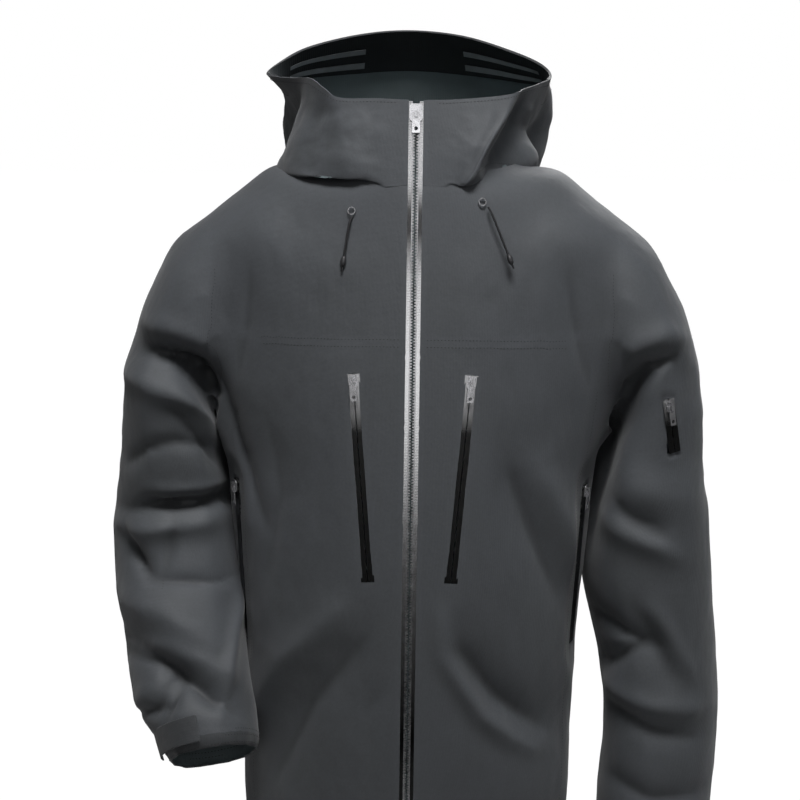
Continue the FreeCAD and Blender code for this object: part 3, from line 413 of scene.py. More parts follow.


# Folds pressed in, as listed: where, line in x and z (mm), width (mm), depth (mm, outward positive).
# They lie on the front unless the place says back.
FOLDS = [
    ("right", [(-262, 540), (-230, 532), (-206, 516), (-192, 480), (-186, 400)], 15, -22),
    ("right", [(-286, 512), (-258, 505), (-228, 488), (-212, 450)], 14, 8),
    ("right", [(-296, 372), (-262, 380), (-205, 392)], 11, -9),
    ("right", [(-298, 352), (-260, 356), (-206, 366)], 12, 6),
    ("right", [(-298, 352), (-281, 335), (-258, 312)], 9, -6),
    ("right", [(-292, 252), (-250, 242), (-212, 220), (-177, 186)], 17, -9),
    ("right", [(-288, 232), (-243, 233), (-210, 216), (-180, 196), (-157, 172)], 7, -7.5),
    ("right", [(-268, 245), (-234, 246), (-202, 231), (-168, 208)], 9, 5),
    ("right", [(-242, 487), (-225, 453), (-205, 418)], 9, -6),
    ("right", [(-234, 504), (-212, 466), (-198, 430)], 8, 5),
    ("right", [(-262, 384), (-231, 381), (-204, 384), (-180, 362)], 7, -8),
    ("right", [(-260, 396), (-228, 396), (-200, 399)], 8, 5),
    ("right", [(-290, 360), (-272, 330), (-250, 306)], 6, -6),
    ("right", [(-240, 372), (-241, 341), (-244, 312)], 5, -5),
    ("right", [(-254, 309), (-222, 307), (-192, 300)], 6, -5),
    ("right", [(-219, 222), (-225, 197), (-236, 170)], 5, -6),
    ("right", [(-226, 194), (-247, 183), (-270, 168)], 5, -5),
    ("torso", [(-203, 540), (-185, 482), (-165, 428), (-142, 362)], 6, -5),
    ("torso", [(-214, 520), (-196, 470), (-178, 420), (-158, 360)], 9, 4),
    ("torso back", [(-194, 540), (-152, 470), (-116, 372)], 15, -6),
    ("torso back", [(192, 540), (158, 486), (124, 396)], 15, -6),
    ("torso back", [(-120, 336), (-66, 300), (10, 306)], 22, -4),
    ("torso back", [(176, 306), (116, 248), (64, 232)], 18, -5),
    ("torso back", [(-170, 236), (-124, 160), (-96, 84)], 20, -5),
    ("torso back", [(72, 566), (58, 440), (78, 322)], 24, 4),
    ("torso back", [(-36, 236), (-14, 150), (-24, 66)], 20, -4),
    ("left back", [(302, 476), (252, 446), (222, 462)], 11, -7),
    ("left back", [(308, 372), (266, 342), (230, 352)], 9, -9),
    ("left back", [(304, 330), (268, 296), (240, 256)], 10, -7),
    ("left back", [(292, 176), (252, 146), (226, 150)], 9, -6),
    ("right back", [(-304, 452), (-262, 440), (-226, 408)], 11, -7),
    ("right back", [(-306, 366), (-264, 340), (-224, 346)], 9, -9),
    ("right back", [(-296, 318), (-258, 290), (-228, 246)], 10, -7),
    ("right back", [(-284, 200), (-240, 172), (-200, 176)], 9, -6),
    ("right", [(-290, 288), (-240, 276), (-190, 240)], 16, 7),
    ("right", [(-222, 232), (-233, 207), (-247, 176)], 7, -6),
    ("right", [(-246, 214), (-258, 186), (-262, 160)], 12, 5),
    ("right", [(-178, 325), (-182, 250), (-180, 180)], 6, 6),
    ("right", [(-205, 180), (-196, 160), (-190, 140)], 9, -5),
    ("right", [(-266, 536), (-242, 537), (-216, 526), (-200, 498), (-194, 462)], 8, -8),
    ("right", [(-262, 560), (-234, 556), (-206, 544), (-190, 516)], 12, 6),
    ("right", [(-286, 420), (-262, 440), (-240, 448), (-214, 440)], 6, -5),
    ("left", [(264, 500), (248, 534), (222, 526), (204, 498), (198, 462)], 8, -7),
    ("left", [(262, 552), (236, 556), (208, 544), (190, 516)], 12, 6),
    ("left", [(240, 534), (214, 500), (200, 452), (186, 330)], 15, -13),
    ("left", [(262, 470), (240, 420), (228, 360)], 20, 6),
    ("left", [(215, 385), (236, 366), (252, 352)], 10, -6),
    ("left", [(200, 372), (232, 352), (262, 330)], 12, 6),
    ("left", [(243, 282), (262, 246), (280, 208)], 8, 6),
    ("left", [(236, 274), (254, 236), (268, 200)], 9, -6),
    ("left", [(190, 268), (238, 242), (196, 206)], 12, -9),
    ("left", [(205, 170), (250, 150), (290, 142)], 12, -7),
    ("left", [(200, 190), (246, 176), (296, 172)], 13, 6),
    ("left", [(210, 92), (250, 76), (296, 80)], 12, -6),
    ("torso", [(150, 600), (156, 574), (163, 550), (176, 505)], 7, -4),
    ("torso", [(-160, 596), (-166, 560), (-176, 512)], 8, -3),
    ("torso", [(96, 430), (121, 364), (148, 290)], 18, -10),
    ("torso", [(124, 430), (150, 364), (166, 300)], 16, 8),
    ("torso", [(48, 256), (88, 204), (140, 156)], 18, -12),
    ("torso", [(28, 300), (34, 248), (74, 186), (122, 142)], 9, 7),
    ("torso", [(-8, 250), (-22, 218), (-44, 186)], 11, -4),
    ("torso", [(-46, 262), (-96, 190), (-134, 96)], 18, -8),
    ("torso", [(-62, 300), (-122, 232), (-158, 150)], 16, 6),
    ("torso", [(-140, 470), (-128, 400), (-142, 300)], 22, -5),
    ("torso", [(40, 90), (92, 62), (150, 40)], 20, -5),
]


def fold_depth(rest, normal, share, back, points, width, depth):
    """Outward move of every vertex for one pressed fold on the part that share stands for."""
    p = np.array(points, float) * MM
    q = rest[:, [0, 2]]
    best = np.full(len(rest), 1e9)
    along = np.zeros(len(rest))
    total = np.linalg.norm(np.diff(p, axis=0), axis=1)
    start = 0.0
    for a, b, length in zip(p[:-1], p[1:], total):
        d = b - a
        t = np.clip(((q - a) @ d) / (d @ d), 0, 1)
        away = np.linalg.norm(q - a - t[:, None] * d, axis=1)
        near = away < best
        best[near] = away[near]
        along[near] = (start + t[near] * length) / total.sum()
        start += length
    taper = np.sin(np.pi * np.clip(along * 0.92 + 0.04, 0, 1)) ** 0.6
    facing = step(normal[:, 1] if back else -normal[:, 1], -0.15, 0.35)
    sharp = 1.1 if depth < 0 else 1.6
    return PRESS_GAIN * depth * MM * np.exp(-(best / (width * MM)) ** sharp) * taper * facing * share


def ends_mask(rest):
    """0 at the hem and cuffs, 1 away from them."""
    mask = np.where(np.abs(rest[:, 0]) < 0.19, step(rest[:, 2], 0.004, 0.05), 1)
    for origin, up in CUFFS.values():
        d = rest - np.array(origin)
        mask *= np.where(np.linalg.norm(d, axis=1) < 0.11, step(d @ np.array(up), 0.012, 0.05), 1)
    return mask


def pocket_mask(rest):
    """0 beside the sleeve pocket's zip, 1 away from it."""
    mask = np.ones(len(rest))
    for low, high in zip_lines():
        if abs(low[0]) > 0.2:
            mask *= step(line_distance(rest, low, high), 0.010, 0.050)
    return mask


def filled_out(rest, normal, flag):
    """Fuller shoulders and sleeves: moves in metres that the filled shape gets on top of the folds."""
    x, z, side = np.abs(rest[:, 0]), rest[:, 2], np.sign(rest[:, 0])
    move = np.zeros_like(rest)
    crest = np.exp(-((x - 0.172) / 0.062) ** 2) * step(z, 0.53, 0.62)
    move[:, 2] += 0.027 * crest
    move[:, 0] += side * 0.010 * np.exp(-((x - 0.225) / 0.04) ** 2) * step(z, 0.44, 0.54)
    move *= pocket_mask(rest)[:, None]
    sleeve = flag * step(z, 0.62, 0.52) * ends_mask(rest) * pocket_mask(rest)
    outer = step(normal[:, 0] * side, -0.2, 0.5)
    inner = step(-normal[:, 0] * side, 0.0, 0.6)
    cling = np.exp(-((z - 0.36) / 0.13) ** 2)
    move[:, 0] += side * sleeve * (0.008 * outer - 0.013 * inner * cling)
    move[:, 1] += 0.005 * sleeve * normal[:, 1]
    body = (1 - flag) * step(z, 0.50, 0.44) * held_mask(rest)
    move[:, 0] += side * body * 0.004 * step(normal[:, 0] * side, 0.3, 0.8)
    return move


def shaped_garment():
    """The draped, creased garment; the filled shape stays with it as the attribute rest."""
    ob = garment_base(VOXEL)
    rest = coords(ob)
    moved = rest.copy()
    move = drape(ob, *DRAPE) - rest
    move *= (1 - 0.8 * np.maximum(step(normals(ob)[:, 2], 0.15, 0.6), step(rest[:, 2], 0.57, 0.64)))[:, None]
    sag = neighbour_average(ob, move, 90)
    free = neighbour_average(ob, held_mask(rest) * ends_mask(rest), 6)
    moved = rest + (move - SAG_TAKEN_OUT * sag) * DRAPE_GAIN * free
    # The filled shape rides along as a vector layer while the mesh is made finer.
    layer = ob.data.attributes.new("rest", "FLOAT_VECTOR", "POINT")
    layer.data.foreach_set("vector", rest.ravel())
    set_coords(ob, moved)
    mod = ob.modifiers.new("finer", "SUBSURF")
    mod.levels = mod.render_levels = 1
    applied(ob)
    rest = read(ob.data.attributes["rest"].data, "vector")
    normal = normals(ob)
    flag = read(ob.data.attributes["arm"].data, "value", 1)
    label = np.where(flag < 0.5, "torso", np.where(rest[:, 0] > 0, "left", "right"))
    push = np.zeros(len(rest))
    # Body and sleeves blend over a few millimetres where they meet, so folds don't end in a step.
    soft = neighbour_average(ob, flag, 4)[:, 0]
    shares = {"torso": 1 - soft, "left": soft * (rest[:, 0] > 0), "right": soft * (rest[:, 0] < 0)}
    for place, points, width, depth in FOLDS:
        part, _, back = place.partition(" ")
        push += fold_depth(rest, normal, shares[part], back, points, width, depth)
    # The sleeves are only held by the arm pocket's zip and their cuffs, not by the zips of the body.
    pocket = pocket_mask(rest)
    free = np.where(flag > 0.5, pocket * ends_mask(rest), held_mask(rest))
    push = neighbour_average(ob, push * free, 1)[:, 0]
    # Small soft creases everywhere, longest across the sleeves and down the body.
    grain = np.array([mnoise.fractal(Vector((c[0] * 26, c[1] * 26, c[2] * 15)), 0.9, 2.1, 3) for c in rest])
    push += 0.0011 * grain * held_mask(rest)
    co = coords(ob) + normal * push[:, None]
    co += filled_out(rest, normal, soft)
    # Beside the pocket zips the cloth lies exactly on the tape's level.
    near = np.ones(len(rest))
    for low, high in zip_lines():
        near *= step(line_distance(rest, low, high), 0.012, 0.045)
    near *= np.where(rest[:, 1] < 0, step(np.abs(rest[:, 0]), 0.014, 0.05), 1)
    for i in np.nonzero(near < 0.999)[0]:
        c, n = Vector(rest[i]), Vector(normal[i])
        tree = TORSO_TREE if label[i] == "torso" else ARM_TREE
        hit = tree.ray_cast(c + n * 0.02, -n, 0.04)
        if hit[0] is not None:
            co[i] = co[i] * near[i] + (1 - near[i]) * (np.array(hit[0]) + co[i] - rest[i])
    set_coords(ob, co)
    return ob


def windows():
    """Frames of the pocket-zip openings: middle, along, across, outward, half length, half width."""
    found = []
    for node, half in (("chest_zip_tapes", 0.0050), ("pit_zip_tapes", 0.0045), ("sleeve_zip_tape", 0.0045)):
        me = NODES[node].data
        co = coords(NODES[node])
        for side in (-1, 1):
            part = co[co[:, 0] * side > 0]
            if not len(part):
                continue
            low, high = (Vector(end) for end in line_ends(part))
            mid, along = (low + high) / 2, high - low
            size = along.length / 2
            along.normalize()
            axis = Vector((0.247 if node.startswith("sleeve") else mid.x * 0.7, 0.03, mid.z))
            best = max((p for p in me.polygons if p.center.x * side > 0 and p.normal.dot(mid - axis) > 0),
                       key=lambda p: p.area * p.normal.dot((mid - axis).normalized()))
            across = along.cross(best.normal).normalized()
            found.append((mid, along, across, across.cross(along), size + 0.0005, half))
    return found


def owner(c, arm):
    """The CAD panel a spot on the filled garment belongs to."""
    side = "_left" if c.x > 0 else "_right"
    if arm:
        origin, up = CUFFS[c.x > 0]
        if (c - origin).dot(up) < CUFF_BAND and (c - origin).length < 0.1:
            return "cuff_band" + side
        return ("forearm" if c.z < ELBOW_Z else "upper_sleeve") + side
    if c.z > YOKE_Z:
        return "back_yoke" if c.y > SHOULDER_Y else "front_yoke" + side
    if c.y > SIDE_BACK_Y:
        return "back_panel"
    return ("side_panel" if c.y > SIDE_FRONT_Y else "front_panel") + side


def panels(ob):
    """Cuts the garment along its seams and zip openings into one object per panel."""
    draped = coords(ob)
    store = ob.data.attributes.new("draped", "FLOAT_VECTOR", "POINT")
    store.data.foreach_set("vector", draped.ravel())
    set_coords(ob, read(ob.data.attributes["rest"].data, "vector"))
    bm = bmesh.new()
    bm.from_mesh(ob.data)
    for x in (-ZIP_HALF, ZIP_HALF):
        cut_away(bm, (x, 0, 0), (1, 0, 0), lambda c: abs(c.x) < 0.03 and c.y < 0.02)
    cut_away(bm, (0, 0, YOKE_Z), (0, 0, 1), lambda c: abs(c.z - YOKE_Z) < 0.02, False)
    for y in (SIDE_FRONT_Y, SIDE_BACK_Y):
        cut_away(bm, (0, y, 0), (0, 1, 0), lambda c: abs(c.y - y) < 0.02 and c.z < YOKE_Z + 0.01, False)
    cut_away(bm, (0, SHOULDER_Y, 0), (0, 1, 0), lambda c: abs(c.y - SHOULDER_Y) < 0.02 and c.z > YOKE_Z - 0.01, False)
    for x in (-ARMHOLE_X, ARMHOLE_X):
        cut_away(bm, (x, 0, 0), (1, 0, 0), lambda c: abs(c.x - x) < 0.02 and c.z > 0.46)
    cut_away(bm, (0, 0, ELBOW_Z), (0, 0, 1), lambda c: abs(c.z - ELBOW_Z) < 0.02, True)
    for arm, side in ((LEFT_ARM, 1), (RIGHT_ARM, -1)):
        origin, up = cuff_end(arm, side)
        cut_away(bm, origin + up * CUFF_BAND, up, lambda c: (c - origin).length < 0.11, True)
    for mid, along, across, _, length, half in WINDOWS:
        inside = lambda c: (c - mid).length < length + 0.02 and abs((c - mid).dot(across)) < 0.02
        for s in (-1, 1):
            cut_away(bm, mid + across * half * s, across, inside, abs(mid.x) > SLEEVE_X)
            cut_away(bm, mid + along * length * s, along, inside, abs(mid.x) > SLEEVE_X)
    flag = bm.verts.layers.float["arm"]
    shape = bm.verts.layers.float_vector["draped"]
    bm.verts.index_update()
    co = [tuple(v[shape]) for v in bm.verts]
    faces = {}
    for f in bm.faces:
        c = f.calc_center_median()
        if abs(c.x) < ZIP_HALF and c.y < 0.02:
            continue
        arm = sum(v[flag] for v in f.verts) > 0.5 * len(f.verts)
        if any(abs((c - m).dot(a)) < n and abs((c - m).dot(s)) < h and abs((c - m).dot(o)) < 0.02
               and (abs(m.x) > SLEEVE_X) == arm for m, a, s, o, n, h in WINDOWS):
            continue
        arm = abs(c.x) > ARMHOLE_X if c.z > 0.46 else arm
        faces.setdefault(owner(c, arm), []).append([v.index for v in f.verts])
    bm.free()
    made = {}
    for name, rows in faces.items():
        used = sorted({i for r in rows for i in r})
        number = {i: k for k, i in enumerate(used)}
        made[name] = mesh_object(name + "_cloth", [co[i] for i in used], [[number[i] for i in r] for r in rows])
    return made


VOXEL = 0.0084                                      # cell of the garment's first mesh
DRAPE = (24, 0.10, 0.03, 9)                         # frames, pull to the filled shape, extra cloth, bending
DRAPE_GAIN, SAG_TAKEN_OUT = 1.35, 0.85              # the folds of the drape are kept, its overall sag isn't
PRESS_GAIN = 1.35                                   # depth of the pressed folds against the table's
CUFF_BAND = 0.0155                                  # length of the cuff band
SLEEVE_X = 0.22                                     # only the arm pocket's zip lies farther out
WINDOWS = windows()
CUFFS = {True: cuff_end(LEFT_ARM, 1), False: cuff_end(RIGHT_ARM, -1)}


def spline(points, count):
    """Even samples of a smooth curve through points."""
    p = np.asarray(points, float)
    p = np.concatenate([[2 * p[0] - p[1]], p, [2 * p[-1] - p[-2]]])
    n = len(p) - 3
    t = np.linspace(0, n, count)
    i = np.minimum(t.astype(int), n - 1)
    f = (t - i).reshape((-1,) + (1,) * (p.ndim - 1))
    p0, p1, p2, p3 = p[i], p[i + 1], p[i + 2], p[i + 3]
    return 0.5 * (2 * p1 + (p2 - p0) * f + (2 * p0 - 5 * p1 + 4 * p2 - p3) * f ** 2
                  + (3 * p1 - p0 - 3 * p2 + p3) * f ** 3)


def chin_column(x):
    """The collar beside the front zip, from the neckline to the collar's top."""
    return [(x, front_y(z * MM) / MM, z) for z in (700, 712, 727, 744, 762, 780)]


# The dropped hood and collar as columns of cloth (mm) from the neckline out, down and up to the rim,
# from the wearer's right side of the zip round the back to its left side.
HOOD = [
    chin_column(-7.1),
    [(-35, -95, 698), (-36, -93, 712), (-37, -90, 727), (-38, -86, 744), (-38, -80, 762), (-38, -74, 781)],
    [(-60, -84, 706), (-64, -91, 704), (-70, -88, 722), (-72, -80, 742), (-73, -72, 762), (-74, -66, 781)],
    [(-84, -52, 713), (-104, -68, 704), (-110, -60, 716), (-108, -52, 740), (-100, -50, 765), (-90, -60, 790)],
    [(-94, -14, 716), (-132, -18, 705), (-135, -16, 716), (-127, -17, 736), (-114, -24, 768), (-104, -43, 799)],
    [(-97, 15, 716), (-112, 12, 714), (-120, 10, 728), (-117, 6, 750), (-117, 2, 773), (-126, -2, 799)],
    [(-94, 40, 716), (-114, 44, 711), (-121, 46, 722), (-120, 48, 748), (-128, 47, 775), (-153, 41, 802)],
    [(-84, 62, 715), (-112, 84, 700), (-128, 100, 705), (-134, 102, 740), (-138, 94, 778), (-141, 78, 816)],
    [(-66, 78, 714), (-92, 112, 680), (-118, 150, 680), (-134, 160, 725), (-126, 144, 782), (-113, 108, 832)],
    [(-36, 90, 714), (-50, 130, 665), (-62, 178, 660), (-70, 196, 715), (-66, 182, 785), (-60, 136, 846)],
    [(0, 94, 714), (-2, 138, 655), (-4, 188, 648), (-8, 205, 705), (-8, 190, 787), (-8, 147, 851)],
    [(38, 90, 714), (50, 130, 665), (60, 176, 660), (64, 194, 715), (58, 182, 785), (48, 138, 846)],
    [(66, 78, 714), (92, 110, 684), (112, 146, 684), (122, 156, 728), (118, 142, 782), (98, 108, 831)],
    [(84, 60, 715), (116, 76, 700), (130, 92, 712), (138, 100, 745), (142, 94, 782), (129, 78, 817)],
    [(94, 32, 716), (122, 38, 706), (120, 44, 728), (112, 50, 743), (126, 58, 766), (138, 50, 804)],
    [(94, -14, 715), (113, -10, 711), (120, -2, 728), (110, 4, 752), (116, 2, 773), (123, 7, 797)],
    [(76, -62, 706), (74, -54, 718), (78, -40, 741), (89, -26, 765), (105, -26, 791)],
    [(52, -89, 697), (57, -95, 708), (64, -91, 724), (75, -82, 744), (89, -67, 767), (100, -53, 789)],
    [(43, -92, 697), (46, -95, 704), (53, -92, 720), (62, -86, 742), (74, -75, 764), (80, -65, 785)],
    [(33, -95, 698), (35, -93, 712), (37, -90, 727), (38, -85, 744), (38, -80, 762), (38, -74, 781)],
    chin_column(7.1),
]
HOOD_ROWS = 61
HOOD_STEP = 13
# Creases in the hood: column, row, half widths, depth (mm, outward positive).
HOOD_CREASES = [(2.6, 0.35, 0.35, 0.30, -2.5), (3.2, 0.45, 0.35, 0.30, 2.5), (4.2, 0.30, 0.5, 0.10, 2.0),
                (4.6, 0.52, 0.6, 0.10, -2.4), (6.4, 0.55, 0.5, 0.16, -3.0), (7.4, 0.60, 0.5, 0.2, 2.5),
                (8.6, 0.55, 0.5, 0.2, -3.0), (9.6, 0.42, 0.6, 0.12, -4.0), (10.6, 0.50, 0.4, 0.25, 2.6),
                (11.5, 0.55, 0.4, 0.2, -3.2), (12.6, 0.45, 0.4, 0.2, 2.6), (13.4, 0.35, 0.5, 0.12, -3.0),
                (15.0, 0.55, 0.5, 0.12, -2.0), (16.6, 0.4, 0.35, 0.35, 1.6), (17.6, 0.55, 0.3, 0.3, -1.6)]


def hood_grid():
    """Points of the whole hood and collar surface: [column, row, xyz] in metres, and the outward normals."""
    rows = np.array([spline(c, HOOD_ROWS) for c in HOOD]) * MM
    grid = spline(rows, (len(HOOD) - 1) * HOOD_STEP + 1)
    du, dv = np.gradient(grid, axis=0), np.gradient(grid, axis=1)
    out = np.cross(du, dv)
    out /= np.linalg.norm(out, axis=2, keepdims=True) + 1e-12
    if out[HOOD_STEP * 2, 30, 1] > 0:
        out = -out
    u = np.linspace(0, len(HOOD) - 1, grid.shape[0])[:, None]
    v = np.linspace(0, 1, HOOD_ROWS)[None, :]
    push = np.zeros(grid.shape[:2])
    for cu, cv, wu, wv, depth in HOOD_CREASES:
        push += depth * MM * np.exp(-((u - cu) / wu) ** 2 - ((v - cv) / wv) ** 2)
    grain = np.array([[mnoise.fractal(Vector(p * 24), 0.9, 2.1, 3) for p in col] for col in grid])
    calm = step(u, 0.2, 1.6) * step(20 - u, 0.2, 1.6) * step(v, 0.0, 0.15) * step(1 - v, 0.02, 0.2)
    stiff = 1 - 0.7 * step(v, 0.70, 0.86) * step(u, 5, 7) * step(20 - u, 5, 7)
    push = (push + 0.0020 * grain) * calm * stiff
    # The neck seam is tucked in, so that the lining stays out of sight.
    push = push - 0.006 * step(0.07 - v, 0.0, 0.07) * step(u, 0.7, 1.6) * step(20 - u, 0.7, 1.6)
    return grid + out * push[..., None], out


def grid_object(name, points):
    """A sheet through a grid of points."""
    nu, nv = points.shape[:2]
    faces = [(i * nv + j, (i + 1) * nv + j, (i + 1) * nv + j + 1, i * nv + j + 1)
             for i in range(nu - 1) for j in range(nv - 1)]
    return mesh_object(name, points.reshape(-1, 3), faces)


def hood_pieces():
    """Hood and collar cut into the CAD's panels along columns and rows."""
    grid, out = hood_grid()
    c = lambda k: int(k * HOOD_STEP)
    brim_row, base_row = 52, 14
    parts = {
        "collar_right": (0, c(2.6), 0, 60), "collar_left": (c(17.4), c(20), 0, 60),
        "hood_side_right": (c(2.6), c(8.0), 0, 60), "hood_side_left": (c(12.0), c(17.4), 0, 60),
        "hood_base": (c(8.0), c(12.0), 0, base_row), "hood_center": (c(8.0), c(12.0), base_row, brim_row),
        "hood_brim": (c(8.0), c(12.0), brim_row, 60),
    }
    # The brim reaches on over both sides.
    made = {}
    for name, (a, b, low, high) in parts.items():
        blocks = [(a, b, low, high)]
        if name == "hood_side_right":
            blocks = [(a, c(5.6), 0, 60), (c(5.6), b, 0, brim_row)]
        if name == "hood_side_left":
            blocks = [(a, c(14.4), 0, brim_row), (c(14.4), b, 0, 60)]
        if name == "hood_brim":
            blocks = [(c(5.6), c(14.4), brim_row, 60)]
        sheets = [grid_object(name + "_cloth", grid[p:q + 1, r:t + 1]) for p, q, r, t in blocks]
        made[name] = joined(sheets)
    return made, grid, out


def joined(objects):
    """One object from several, with touching vertices merged."""
    bm = bmesh.new()
    for o in objects:
        bm.from_mesh(o.data)
    bmesh.ops.remove_doubles(bm, verts=bm.verts, dist=1e-5)
    bmesh.ops.recalc_face_normals(bm, faces=bm.faces)
    bm.to_mesh(objects[0].data)
    bm.free()
    for o in objects[1:]:
        bpy.data.objects.remove(o)
    return objects[0]


def outward_faces(ob, centre):
    """Turns a sheet's faces so that they look away from a point."""
    me = ob.data
    score = sum((f.center - Vector(centre)).dot(f.normal) * f.area for f in me.polygons)
    if score < 0:
        me.flip_normals()
    return ob


def cloth_modifiers(ob, thick=0.0009, inner=1):
    """Gives a sheet its thickness; the inner face is the backer."""
    mod = ob.modifiers.new("thickness", "SOLIDIFY")
    mod.thickness, mod.offset = thick, -1
    mod.material_offset = inner
    mod.use_even_offset = False
    split = ob.modifiers.new("crisp_rims", "EDGE_SPLIT")
    split.split_angle = math.radians(66)
    ob.data.shade_smooth()
    return ob


def softened(node, voxel, amount, scale, rounds=3):
    """A soft copy of a CAD sub-part: rounded edges and an uneven surface."""
    me = NODES[node].data.copy()
    ob = bpy.data.objects.new(node + "_soft", me)
    bpy.context.scene.collection.objects.link(ob)
    mod = ob.modifiers.new("remesh", "REMESH")
    mod.mode, mod.voxel_size = "VOXEL", voxel
    applied(ob)
    mod = ob.modifiers.new("smooth", "SMOOTH")
    mod.factor, mod.iterations = 0.5, rounds
    applied(ob)
    co, no = coords(ob), normals(ob)
    grain = np.array([mnoise.fractal(Vector(c * scale), 0.9, 2.1, 3) for c in co])
    set_coords(ob, co + no * (grain * amount)[:, None])
    ob.data.shade_smooth()
    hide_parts(node)
    return ob


def sweep(name, points, radius, sides=10, taper=None):
    """A round cord through points, with closed ends."""
    p = np.asarray(points, float)
    t = np.gradient(p, axis=0)
    t /= np.linalg.norm(t, axis=1, keepdims=True) + 1e-12
    ref = np.array([0.0, 0.0, 1.0]) if abs(t[0][2]) < 0.8 else np.array([1.0, 0, 0])
    rings = []
    for i in range(len(p)):
        a = np.cross(t[i], ref)
        a /= np.linalg.norm(a)
        b = np.cross(t[i], a)
        r = radius * (taper[i] if taper is not None else 1)
        rings.append([p[i] + r * (a * math.cos(q) + b * math.sin(q))
                      for q in (2 * math.pi * k / sides for k in range(sides))])
    ob = tube(name, rings)
    ob.data.shade_smooth()
    return ob


def stitches(name, rows, pitch=0.0034, length=0.0022, width=0.00042):
    """Thread stitches lying on the cloth along lines; each row is a list of (point, normal)."""
    verts, faces = [], []
    for row in rows:
        pts = np.array([r[0] for r in row], float)
        nor = np.array([r[1] for r in row], float)
        s = np.concatenate([[0], np.cumsum(np.linalg.norm(np.diff(pts, axis=0), axis=1))])
        for k in range(int(s[-1] / pitch)):
            ends = []
            for q in (k * pitch, k * pitch + length / 2, k * pitch + length):
                ends.append([np.interp(q, s, pts[:, d]) for d in range(3)])
            n = np.array([np.interp(k * pitch, s, nor[:, d]) for d in range(3)])
            a, m, b = (np.array(e) for e in ends)
            side = np.cross(b - a, n)
            side *= width / (np.linalg.norm(side) + 1e-12)
            lift = n * 0.00045
            base = len(verts)
            verts += [a - n * 0.0003, m - side + n * 0.0001, m + side + n * 0.0001, m + lift, b - n * 0.0003]
            faces += [(base, base + 1, base + 3), (base, base + 3, base + 2), (base + 4, base + 3, base + 1),
                      (base + 4, base + 2, base + 3)]
    ob = mesh_object(name, verts, faces)
    ob.data.shade_smooth()
    return ob


def cloth_line(made, rest_points):
    """Points on the finished cloth nearest to given ones, with normals."""
    row = []
    for p in rest_points:
        best = None
        for tree in made:
            hit = tree.find_nearest(Vector(p))
            if hit[0] is not None and (best is None or hit[3] < best[3]):
                best = hit
        row.append((best[0] + best[1] * 0.0002, best[1]))
    return row


